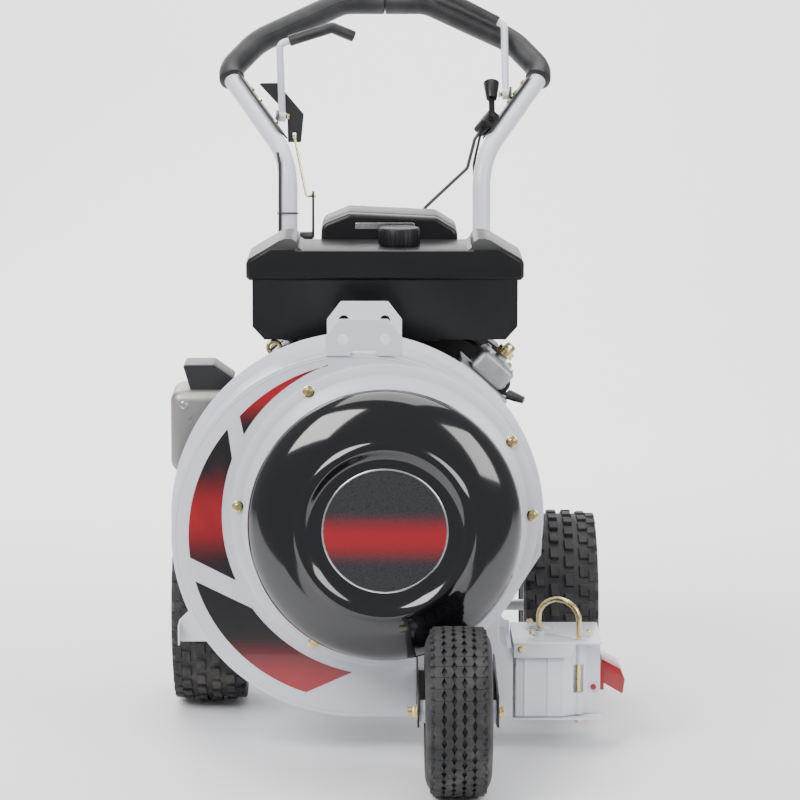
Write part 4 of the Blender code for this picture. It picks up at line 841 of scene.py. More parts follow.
def repeat(name, kind, maker, piece, carrier=None, **values):
    """Runs one of the trees and returns the copies as one plain mesh."""
    if kind not in TREES:
        TREES[kind] = maker()
    tree = TREES[kind]
    carrier = carrier or mesh_object(name, [(0, 0, 0)], [])
    carrier.name = name
    rule = carrier.modifiers.new(kind, "NODES")
    rule.node_group = tree
    values["Piece"] = piece
    for item in tree.interface.items_tree:
        if item.item_type == "SOCKET" and item.in_out == "INPUT" and item.name in values:
            rule[item.identifier] = values[item.name]
    made = plain(carrier)
    bpy.data.objects.remove(piece)
    return made


def ring_of(name, piece, count, key, centre, axis, arc=math.tau):
    """Copies of a piece about an axis. The piece is drawn about Z, at its first place along X."""
    made = repeat(name, "ring", ring_tree, piece, Count=count, Arc=arc, Material=finish_of(key))
    axis = Vector(axis)
    side = Z if abs(axis.z) < 0.5 else X
    turn = Matrix((side, axis.cross(side), axis)).transposed().to_4x4()
    return moved(made, Matrix.Translation(centre) @ turn)


def row_of(name, piece, count, step, key):
    return repeat(name, "row", row_tree, piece, Count=count, Step=step, Material=finish_of(key))


def hex_bolt():
    """A flange bolt of unit size: its head is one across its corners, and its seat is at z = 0."""
    corners = [(math.cos(math.tau * n / 6) * 0.5, math.sin(math.tau * n / 6) * 0.5) for n in range(6)]
    head = plate("bolt_head", [corners], 0.06, 0.40, Z, 0.030)
    profile = [(0, 0.425), (0.30, 0.425), (0.40, 0.36), (0.43, 0.30), (0.43, 0.1)]
    crown = lathe("bolt_crown", profile, (0, 0, 0), Z, 24)
    rim = [(0.30, 0.0), (0.62, 0.0), (0.64, 0.02), (0.64, 0.06), (0.60, 0.09), (0.40, 0.13), (0.30, 0.13)]
    flange = lathe("bolt_flange", rim, (0, 0, 0), Z, 32, True)
    return merged([head, crown, flange], "bolt")


def fasteners(name, body, key, places):
    """Bolts at a list of places, each a point, the way that the bolt faces and its size."""
    spots = mesh_object(name, [place for place, _, _ in places], [])
    for label, kind in (("facing", "FLOAT_VECTOR"), ("size", "FLOAT")):
        spots.data.attributes.new(label, kind, "POINT")
    ways = [part for _, way, _ in places for part in Vector(way).normalized()]
    spots.data.attributes["facing"].data.foreach_set("vector", ways)
    spots.data.attributes["size"].data.foreach_set("value", [scale for _, _, scale in places])
    values = {"Seed": sizes().twist_seed, "Material": finish_of(key)}
    made = repeat(name, "bolts", bolt_tree, hex_bolt(), spots, **values)
    return settle(made, body, key)


# ---------------------------------------------------------------- shapes of the machine

SHEET = 0.003
GAP = 0.0003
SCROLL = Vector((-0.046, 0.362))
SCROLL_R = 0.300
SCROLL_DEPTH = 0.165
BACK_Y = SHEET + GAP + SCROLL_DEPTH + GAP
TONGUE = math.radians(-6)
DUCT_END = 0.208
DUCT_TOP = 0.176
CHASSIS = "chassis"
FRONT = (0, -1, 0)


def scroll_outline(steps=150):
    """The housing's edge, anticlockwise from the top of the outlet to the bottom of it."""
    first = SCROLL + SCROLL_R * Vector((math.cos(TONGUE), math.sin(TONGUE)))
    corners = [(DUCT_END, DUCT_TOP), (0.185, DUCT_TOP), (0.185, 0.226), first]
    outline = [Vector(point[:2]) for point in rounded(corners, [0, 0.018, 0.030, 0], 8)]
    sweep = math.radians(270) - TONGUE
    for step in range(1, steps + 1):
        angle = TONGUE + sweep * step / steps
        outline.append(SCROLL + SCROLL_R * Vector((math.cos(angle), math.sin(angle))))
    outline.append(Vector((DUCT_END, SCROLL.y - SCROLL_R)))
    return outline


def inset(outline, distance, ends=True):
    """An anticlockwise outline moved inwards."""
    outline = [Vector(point[:2]) for point in outline]
    made = []
    for before, here, after in zip(outline[-1:] + outline[:-1], outline, outline[1:] + outline[:1]):
        first = (here - before).normalized()
        second = (after - here).normalized()
        middle = (first + second).normalized()
        inward = Vector((-middle.y, middle.x))
        made.append(here + inward * distance / inward.dot(Vector((-first.y, first.x))))
    if ends:
        made[0].x = DUCT_END
        made[-1].x = DUCT_END
    return made


def circle(radius, centre=(0, 0), sides=64):
    angles = [math.tau * n / sides for n in range(sides)]
    return [(centre[0] + radius * math.cos(a), centre[1] + radius * math.sin(a)) for a in angles]


STRIPE_OUT = 0.272
STRIPE_IN = 0.264
INLET_R = 0.176
GUARD_R = 0.1955
FAN = Vector((0, FAN_Z))
FRONT_WIDTH = 0.104
FRONT_RIM_R = 0.0508
REAR_WIDTH = 0.127
REAR_RIM_R = 0.0762
REAR_HUB_HALF = 0.034


class BLOWER_OT_scroll(bpy.types.Operator):
    """The scroll housing: front plate, wall, back plate and the stripes on its front"""

    bl_idname = "blower.scroll"
    bl_label = "Scroll housing"
    bl_options = {"REGISTER"}

    def execute(self, context):
        outline = scroll_outline()
        inlet = circle(INLET_R, (0, FAN_Z), 128)
        front = plate("scroll_front", [outline, inlet], 0, SHEET, Y, 0.0011)
        settle(front, CHASSIS, "powder", "scroll_front_plate", angle=40)
        outer = inset(outline, 0.005)
        inner = inset(outline, 0.008)
        low = SHEET + GAP
        wall = plate("scroll_wall", [outer + inner[::-1]], low, low + SCROLL_DEPTH, Y, 0.0003)
        settle(wall, CHASSIS, "powder", "scroll_band", angle=30)
        back_edge = inset(outline, -0.010)
        back_edge[-1].y = outline[-1].y
        edges = [back_edge, circle(0.0275, (0, FAN_Z), 48)]
        back = plate("scroll_back", edges, BACK_Y, BACK_Y + SHEET, Y, 0.0008)
        tab = [(-0.345, 0.149), (-0.262, 0.149), (-0.262, 0.200), (-0.330, 0.200), (-0.345, 0.185)]
        tab = plate("side_tab", [rounded_loop(tab, 0.006)], BACK_Y + 0.0004, BACK_Y + SHEET + 0.0004)
        fold = block("side_fold", (-0.345, BACK_Y - 0.030, 0.149), (-0.342, BACK_Y + SHEET, 0.183), 0.0008)
        settle(merged([back, tab, fold], "scroll_back"), CHASSIS, "powder", "scroll_back_plate", angle=40)
        self.seam(outline)
        self.stripes()
        self.bolts()
        return {"FINISHED"}

    def seam(self, outline):
        """The weld bead where the wall meets the front plate, seen just inside the plate's edge."""
        path = [(point.x, -0.00005, point.y) for point in inset(outline, 0.0065)[14:-1]]
        line = tube("scroll_seam", path, 0.00065, 8)
        settle(line, CHASSIS, "powder", angle=60)

    def stripe(self, name, outer, inner, level, reach, flare=0.0):
        """A film stripe between an arc about the scroll and one about the fan, warmest at one height."""
        steps = 60
        points = []
        warm = []
        for step in range(steps + 1):
            share = step / steps
            edges = ((SCROLL, outer, STRIPE_OUT + flare * share), (FAN, inner, STRIPE_IN))
            for centre, ends, radius in edges:
                angle = math.radians(ends[0] + (ends[1] - ends[0]) * share)
                height = centre.y + radius * math.sin(angle)
                place = Vector((centre.x + radius * math.cos(angle), -0.00025, height))
                points.append(place)
                warm.append(max(0.0, 1.0 - abs(place.z - level) / reach))
        faces = [(n, n + 2, n + 3, n + 1) for n in range(0, steps * 2, 2)]
        obj = mesh_object(name, points, faces)
        value = obj.data.attributes.new("warmth", "FLOAT", "POINT")
        value.data.foreach_set("value", warm)
        skin = obj.modifiers.new("Film", "SOLIDIFY")
        skin.thickness = 0.0002
        skin.offset = 0
        obj = plain(obj)
        outwards(obj.data)
        settle(obj, CHASSIS, "stripe", angle=60)

    def stripes(self):
        self.stripe("stripe_top", (133.7, 99.4), (149.6, 110.3), 0.598, 0.062, 0.0106)
        self.stripe("stripe_middle", (139.8, 187.5), (159.2, 203.7), 0.395, 0.085)
        self.stripe("stripe_lower", (195.9, 252.3), (215.3, 258.4), 0.105, 0.100)

    def bolts(self):
        places = []
        ring = RING_R - 0.0095
        for degrees in (31, 121, 0.5, 176, 241, 301):
            angle = math.radians(degrees)
            spot = (ring * math.cos(angle), -SHEET - GAP, FAN_Z + ring * math.sin(angle))
            places.append((spot, FRONT, 0.0150))
        fasteners("intake_bolts", CHASSIS, "zinc", places)


class BLOWER_OT_intake(bpy.types.Operator):
    """The intake: rolled ring, wire guard and the gloss dome with its plain badge"""

    bl_idname = "blower.intake"
    bl_label = "Intake"
    bl_options = {"REGISTER"}

    def execute(self, context):
        centre = (0, 0, FAN_Z)
        bell = [
            (0.2475, 0.0004), (0.2480, 0.0012), (0.2480, 0.0028), (0.2472, 0.0033), (0.2330, 0.0034),
            (0.2295, 0.0044)
        ]
        bell += [
            (0.2180, 0.0112), (0.2120, 0.0142), (0.2060, 0.0168), (0.1990, 0.0180), (0.1870, 0.0180),
            (0.1845, 0.0165)
        ]
        bell += [
            (0.1700, 0.0032), (0.1682, 0.0005), (0.1680, -0.0060), (0.1708, -0.0060), (0.1709, 0.0000),
            (0.1860, 0.0146)
        ]
        bell += [(0.1885, 0.0152), (0.1980, 0.0152), (0.2280, 0.0008), (0.2285, 0.0004)]
        ring = lathe("intake_ring", bell, centre, FRONT, 160, True)
        settle(ring, CHASSIS, "powder", "inlet_ring", angle=36)
        self.guard(centre)
        self.dome(centre)
        return {"FINISHED"}

    def guard(self, centre):
        """Three hoops and a ring of upright wires between the crest of the ring and the dome."""
        wire = 0.0016
        low = 0.0195
        top = 0.0905
        hoops = []
        for height in (low, (low + top) / 2, top - 0.006):
            path = [
                (GUARD_R * math.cos(a), -height, FAN_Z + GUARD_R * math.sin(a))
                for a in (math.tau * n / 96 for n in range(97))
            ]
            hoops.append(tube("hoop", path, wire, 10, False))
        reach = Vector((GUARD_R, 0, 0))
        path = [reach + Z * (low - 0.001), reach + Z * top, reach * 0.972 + Z * (top + 0.0065)]
        upright = tube("upright", path, wire * 0.8, 8)
        bars = ring_of("guard_wires", upright, sizes().guard_wires, "enamel", centre, FRONT)
        settle(merged(hoops + [bars], "intake_wires"), CHASSIS, "enamel", "intake_guard", angle=50)

    def dome(self, centre):
        profile = [
            (0, 0.1262), (0.062, 0.1262), (0.066, 0.1268), (0.098, 0.1270), (0.112, 0.1276),
            (0.1195, 0.1293)
        ]
        profile += [
            (0.1250, 0.1330), (0.1300, 0.1365), (0.1350, 0.1377), (0.1400, 0.1370), (0.1440, 0.1345),
            (0.1475, 0.1318)
        ]
        for step in range(14, -1, -1):
            angle = math.radians(59) * step / 14
            profile.append((0.100 + (POD_R - 0.100) * math.cos(angle), 0.0800 + 0.0595 * math.sin(angle)))
        profile += [(POD_R - 0.0006, 0.0785), (POD_R - 0.0022, 0.0785), (POD_R - 0.0030, 0.0800)]
        for step in range(0, 15, 2):
            angle = math.radians(59) * step / 14
            profile.append((0.0975 + (POD_R - 0.100) * math.cos(angle), 0.0795 + 0.0565 * math.sin(angle)))
        profile += [(0.118, 0.1240), (0, 0.1235)]
        settle(lathe("intake_dome", profile, centre, FRONT, 192), CHASSIS, "dome", "intake_pod", angle=50)
        disc = [(0, 0.1272), (0.0985, 0.1272), (0.0988, 0.1268), (0.0988, 0.1261)]
        settle(lathe("badge", disc, centre, FRONT, 128), CHASSIS, "badge", angle=40)
        rim = [
            (0.0975, 0.1272), (0.0980, 0.1279), (0.0996, 0.1280), (0.1004, 0.1274), (0.1004, 0.1266),
            (0.0975, 0.1266)
        ]
        settle(lathe("badge_rim", rim, centre, FRONT, 128, True), CHASSIS, "brushed", angle=50)


class BLOWER_OT_drive(bpy.types.Operator):
    """The fan, both shafts with their pulleys, and the belt"""

    bl_idname = "blower.drive"
    bl_label = "Fan and belt drive"
    bl_options = {"REGISTER"}

    def execute(self, context):
        refine("impeller", "crank", "bright", 0.0008)
        refine("crankshaft", "crank", "bright", 0.0005)
        refine("input_shaft", "lower_shaft", "alloy", 0.0005)
        refine("drive_belt", CHASSIS, "sheath", 0.0008)
        refine("transaxle", CHASSIS, "alloy", 0.0020)
        refine("clutch_arm", "clutch_arm", "bright", 0.0004)
        return {"FINISHED"}


class BLOWER_OT_wheels(bpy.types.Operator):
    """Tyres with their tread, rims, axle bolt and shafts"""

    bl_idname = "blower.wheels"
    bl_label = "Wheels"
    bl_options = {"REGISTER"}

    def execute(self, context):
        centre = Vector(middle_of("front_tyre")) - SHIFT
        size = (FRONT_TYRE_R, FRONT_WIDTH, FRONT_RIM_R)
        self.tyre("front_wheel_tyre", "front_wheel", centre, *size, "front_tyre", True)
        size = (FRONT_RIM_R, FRONT_WIDTH, 0.0069, 0.0598)
        self.rim("front_wheel_rim", "front_wheel", centre, *size, "front_rim", 1)
        self.axle_bolt(centre)
        for side, word in ((-1, "left"), (1, "right")):
            centre = Vector(middle_of(f"rear_tyre_{word}")) - SHIFT
            body = f"rear_wheel_{word}"
            size = (REAR_TYRE_R, REAR_WIDTH, REAR_RIM_R)
            self.tyre(f"rear_{word}_tyre", body, centre, *size, f"rear_tyre_{word}", False)
            size = (REAR_RIM_R, REAR_WIDTH, 0.0100, REAR_HUB_HALF)
            self.rim(f"rear_{word}_rim", body, centre, *size, f"rear_rim_{word}", side)
            refine(f"axle_shaft_{word}", body, "bright", 0.0005)
            outside = centre + X * side * REAR_HUB_HALF
            places = [(outside + X * side * 0.0065, (side, 0, 0), 0.0190)]
            fasteners(f"rear_{word}_nut", body, "zinc", places)
        return {"FINISHED"}

    def tyre(self, name, body, centre, outer, width, rim, node, ribbed):
        half = width / 2
        crown = outer - (0.0062 if ribbed else 0.0072)
        side = outer - 0.036
        seat = half - 0.010
        section = [(rim + 0.0005, -seat), (rim + 0.006, -seat - 0.0004), (rim + 0.0095, -seat - 0.0028)]
        section += [
            (rim + 0.013, -seat - 0.0040), ((rim + side) / 2, -half + 0.0028),
            (side - 0.006, -half + 0.0003)
        ]
        section += [(side, -half), (side + 0.007, -half + 0.0004), (outer - 0.020, -half + 0.0030)]
        section += [
            (outer - 0.0135, -half + 0.0068), (outer - 0.0098, -half + 0.0110), (crown, -half + 0.0195)
        ]
        section += [(crown + 0.0006, -half * 0.30), (crown + 0.0008, 0.0)]
        section += [(radius, -height) for radius, height in section[-2::-1]]
        section += [(rim + 0.0005, seat - 0.009), (side, half - 0.009), (outer - 0.013, half - 0.022)]
        section += [(outer - 0.013, -half + 0.022), (side, -half + 0.009), (rim + 0.0005, -seat + 0.009)]
        carcass = lathe(name, section, centre, X, 128, True)
        parts = [carcass]
        parts += self.lines(centre, outer, half)
        parts += self.ribs(centre, outer, half) if ribbed else self.blocks(centre, outer, half)
        settle(merged(parts, name), body, "tyre", node, angle=34)

    def lines(self, centre, outer, half):
        """Raised moulding lines on both sidewalls."""
        made = []
        for side in (-1, 1):
            for radius, out in ((outer - 0.041, 0.0009), (outer - 0.056, -0.0010)):
                near = side * (half - 0.0008 + out * 0.4)
                ring = [(radius - 0.0013, near - side * 0.002), (radius - 0.0004, near + side * 0.0008)]
                ring += [(radius + 0.0004, near + side * 0.0008), (radius + 0.0013, near - side * 0.002)]
                made.append(lathe("line", ring, centre, X, 96, True))
        return made

    def ribs(self, centre, outer, half):
        """Five ribs whose edges zigzag, parted by grooves, with cut shoulders."""
        made = []
        count = sizes().front_blocks
        base = outer - 0.0075
        pitch = math.tau * outer / count
        for index in range(5):
            place = (index - 2) * 0.0158
            wide = 0.0058 if abs(index - 2) < 2 else 0.0064
            top = outer - (0.0003 if abs(index - 2) < 2 else 0.0012)
            lean = 0.0022 * (1 if index % 2 else -1)
            outline = [(-pitch / 2, -wide - lean), (0, -wide + lean), (pitch / 2, -wide - lean)]
            outline += [(pitch / 2, wide - lean), (0, wide + lean), (-pitch / 2, wide - lean)]
            rib = self.tread_piece(outline, base, top, place, 0.0009)
            made.append(ring_of("rib", rib, count, "tyre", centre, X))
        for side in (-1, 1):
            edge = [(-pitch * 0.33, 0), (pitch * 0.33, 0), (pitch * 0.22, 0.0085), (-pitch * 0.22, 0.0085)]
            outline = [(y, side * x) for y, x in edge][:: side]
            lug = self.tread_piece(outline, outer - 0.0180, outer - 0.0052, side * (half - 0.0165), 0.0008)
            made.append(ring_of("shoulder", lug, count, "tyre", centre, X))
        return made

    def blocks(self, centre, outer, half):
        """Turf tread: staggered rows of oblong blocks with cut shoulder lugs."""
        made = []
        count = sizes().rear_blocks
        base = outer - 0.0095
        pitch = math.tau * outer / count
        rows = ((-0.0370, 0.25, 0.0026), (-0.0125, 0.75, 0.0), (0.0125, 0.25, 0.0), (0.0370, 0.75, 0.0026))
        for place, phase, drop in rows:
            long = pitch * 0.30
            corners = [(-long, -0.0078), (long, -0.0062), (long, 0.0078), (-long, 0.0062)]
            piece = self.tread_piece(corners, base - drop, outer - 0.0002 - drop, place, 0.0010)
            turned = ring_of("block", piece, count, "tyre", (0, 0, 0), X)
            turn = Matrix.Rotation(math.tau / count * phase, 4, "X")
            made.append(moved(turned, Matrix.Translation(centre) @ turn))
        for side in (-1, 1):
            edge = [
                (-pitch * 0.30, -0.004), (pitch * 0.30, -0.004), (pitch * 0.20, 0.0115),
                (-pitch * 0.20, 0.0115)
            ]
            outline = [(y, side * x) for y, x in edge][:: side]
            lug = self.tread_piece(outline, outer - 0.0250, outer - 0.0058, side * (half - 0.0140), 0.0010)
            made.append(ring_of("lug", lug, count, "tyre", centre, X))
        return made

    def tread_piece(self, outline, low, high, place, edge):
        """A block between two radii, drawn about Z; its outline is given as (round, across)."""
        bm = bmesh.new()
        rings = []
        for radius, shrink in ((low, 1.06), (high - edge, 1.0), (high, 0.88)):
            ring = []
            for round_way, across in outline:
                ring.append(bm.verts.new((radius, round_way * shrink, place + across * shrink)))
            rings.append(ring)
        for first, second in zip(rings, rings[1:]):
            for index in range(len(outline)):
                after = (index + 1) % len(outline)
                bm.faces.new((first[index], first[after], second[after], second[index]))
        bm.faces.new(rings[-1])
        bm.faces.new(rings[0][::-1])
        bmesh.ops.recalc_face_normals(bm, faces=bm.faces)
        mesh = bpy.data.meshes.new("tread")
        bm.to_mesh(mesh)
        bm.free()
        return new_object("tread", mesh)

    def rim(self, name, body, centre, rim, width, bore, hub_half, node, side):
        seat = width / 2 - 0.010
        well = rim - 0.004
        section = [
            (rim + 0.0066, -seat - 0.0030), (rim + 0.0071, -seat - 0.0022), (rim + 0.0066, -seat - 0.0008)
        ]
        section += [
            (rim + 0.0012, -seat - 0.0006), (rim, -seat + 0.0020), (rim, seat - 0.0020),
            (rim + 0.0012, seat + 0.0006)
        ]
        section += [
            (rim + 0.0066, seat + 0.0008), (rim + 0.0071, seat + 0.0022), (rim + 0.0066, seat + 0.0030)
        ]
        section += [
            (rim + 0.0006, seat + 0.0030), (well + 0.001, seat + 0.0010), (well, seat - 0.006),
            (well, 0.014)
        ]
        section += [
            (well - 0.003, 0.008), (well - 0.009, 0.0055), (bore + 0.020, 0.0030), (bore + 0.0135, 0.0040)
        ]
        section += [
            (bore + 0.0115, 0.0065), (bore + 0.0110, hub_half - 0.001), (bore + 0.0100, hub_half),
            (bore, hub_half)
        ]
        section += [
            (bore, -hub_half), (bore + 0.0100, -hub_half), (bore + 0.0110, -hub_half + 0.001),
            (bore + 0.0115, -0.0050)
        ]
        section += [
            (bore + 0.0135, -0.0030), (bore + 0.020, -0.0020), (well - 0.010, 0.0), (well - 0.002, -0.004)
        ]
        section += [
            (well, -0.010), (well, -seat + 0.006), (well + 0.001, -seat - 0.0010),
            (rim + 0.0006, -seat - 0.0030)
        ]
        if side < 0:
            section = [(radius, -height) for radius, height in section]
        obj = lathe(name, section, centre, X, 112, True)
        settle(obj, body, "powder", node, angle=34)
        spot = centre + X * side * (width / 2 - 0.010)
        stem = spot + Vector((0, 0, well - 0.006))
        valve = [stem - X * side * 0.020, stem - X * side * 0.004, stem + X * side * 0.004]
        settle(tube(name + "_valve", valve, [0.0042, 0.0036, 0.0030], 14), body, "sheath")
        places = []
        for index in range(4):
            angle = math.tau * (index + 0.5) / 4
            reach = (bore + 0.0135 + well - 0.012) / 2
            spot = centre + Vector((side * 0.0050, reach * math.cos(angle), reach * math.sin(angle)))
            places.append((spot, (side, 0, 0), 0.0110))
        fasteners(name + "_bolts", body, "zinc", places)

    def axle_bolt(self, centre):
        low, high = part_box("front_axle_bolt")
        start = Vector((low.x - SHIFT.x, centre.y, centre.z))
        end = Vector((high.x - SHIFT.x, centre.y, centre.z))
        shank = tube("axle_bolt_shank", [start, end - X * 0.004], 0.00635, 28)
        threads = []
        for index in range(9):
            at = start.x + 0.001 + index * 0.0016
            ring = [(0.0060, -0.0007), (0.0068, 0.0), (0.0060, 0.0007)]
            threads.append(lathe("thread", ring, (at, centre.y, centre.z), X, 28, True))
        bolt = merged([shank] + threads, "front_axle_bolt_finished")
        settle(bolt, CHASSIS, "zinc", "front_axle_bolt", angle=40)
        places = [(end - X * 0.0072, (1, 0, 0), 0.0190), (start + X * 0.0165, (-1, 0, 0), 0.0190)]
        fasteners("front_axle_nuts", CHASSIS, "zinc", places)


class BLOWER_OT_chassis(bpy.types.Operator):
    """Fork, frame rails, deck, crossmember and tie plates, with their bolts"""

    bl_idname = "blower.chassis"
    bl_label = "Chassis"
    bl_options = {"REGISTER"}

    def execute(self, context):
        refine("front_fork", CHASSIS, "enamel", 0.0006)
        for word in ("left", "right"):
            refine(f"frame_rail_{word}", CHASSIS, "powder", 0.0016)
        refine("engine_deck", CHASSIS, "enamel", 0.0008)
        refine("rear_crossmember", CHASSIS, "powder", 0.0014)
        places = []
        for x in (-0.110, 0.110):
            for y in (0.200, 0.330, 0.452):
                places.append(((x, y, 0.2386), Z, 0.0120))
            places.append(((x, 0.559, 0.2720), Z, 0.0120))
        fasteners("deck_bolts", CHASSIS, "zinc", places)
        for word in ("front", "rear"):
            self.tie_plate(word)
        return {"FINISHED"}

    def tie_plate(self, word):
        low, high = (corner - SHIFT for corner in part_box(f"tie_plate_{word}"))
        middle = (low.x + high.x) / 2
        top = high.z
        edge = [
            (middle - 0.062, low.z), (middle - 0.022, low.z), (middle - 0.018, low.z + 0.009),
            (middle + 0.018, low.z + 0.009)
        ]
        edge += [
            (middle + 0.022, low.z), (middle + 0.062, low.z), (middle + 0.062, top - 0.030),
            (middle + 0.039, top)
        ]
        edge += [(middle - 0.039, top), (middle - 0.062, top - 0.030)]
        holes = [circle(0.0085, (middle + side * 0.034, top - 0.032), 32) for side in (-1, 1)]
        edges = [rounded_loop(edge, 0.0035)] + holes
        obj = plate(f"tie_plate_{word}_finished", edges, low.y, high.y, Y, 0.0007)
        settle(obj, CHASSIS, "powder", f"tie_plate_{word}", angle=40)


class BLOWER_OT_outlet(bpy.types.Operator):
    """The outlet chute, deflector door, pedal, hinge rod and its hairpin"""

    bl_idname = "blower.outlet"
    bl_label = "Outlet"
    bl_options = {"REGISTER"}

    def execute(self, context):
        refine("outlet_chute", CHASSIS, "powder", 0.0009)
        refine("deflector_door", "deflector", "powder", 0.0007)
        refine("deflector_pedal", "deflector", "red", 0.0022)
        self.rod()
        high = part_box("outlet_chute")[1] - SHIFT
        door = [((0.302, 0.0155, 0.168), FRONT, 0.0085), ((0.302, 0.0155, 0.076), FRONT, 0.0085)]
        fasteners("door_bolts", "deflector", "zinc", door)
        places = [((0.240, 0.030, high.z), Z, 0.0095), ((0.240, 0.120, high.z), Z, 0.0095)]
        places += [((0.334, 0.045, high.z), Z, 0.0085), ((0.222, -0.0072, 0.176), FRONT, 0.0095)]
        fasteners("chute_bolts", CHASSIS, "zinc", places)
        return {"FINISHED"}

    def rod(self):
        low, high = (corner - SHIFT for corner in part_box("hinge_rod"))
        radius = 0.0045
        right = high.x - radius
        left = low.x + radius
        bend = (right - left) / 2
        front = 0.022
        back = 0.052
        top = high.z - radius - bend
        path = [(right, front, low.z), (right, front, top)]
        for step in range(1, 24):
            angle = math.pi * step / 24
            share = (1 - math.cos(angle)) / 2
            along = right - bend + bend * math.cos(angle)
            path.append((along, front + (back - front) * share, top + bend * math.sin(angle)))
        path += [(left, back, top), (left, back, 0.1950)]
        settle(tube("hinge_rod_finished", path, radius, 24), CHASSIS, "zinc", "hinge_rod", angle=60)
        fasteners("rod_nut", CHASSIS, "zinc", [((right, front, 0.0555), -Z, 0.0150)])
        level = 0.1988
        near = radius + 0.0015
        clip = [
            (left - 0.016, back - near, level), (left + 0.012, back - near, level),
            (left + 0.022, back - 0.004, level)
        ]
        clip += [(left + 0.025, back + 0.002, level), (left + 0.020, back + near + 0.001, level)]
        clip += [(left + 0.004, back + near, level), (left - 0.016, back + near + 0.002, level)]
        clip = tube("hairpin_finished", rounded(clip, 0.004), 0.0012, 12)
        settle(clip, CHASSIS, "bright", "hairpin_clip", angle=60)


BANKS = ((-1, "left", 0.335), (1, "right", 0.290))
BANK_LEAN = math.radians(42)


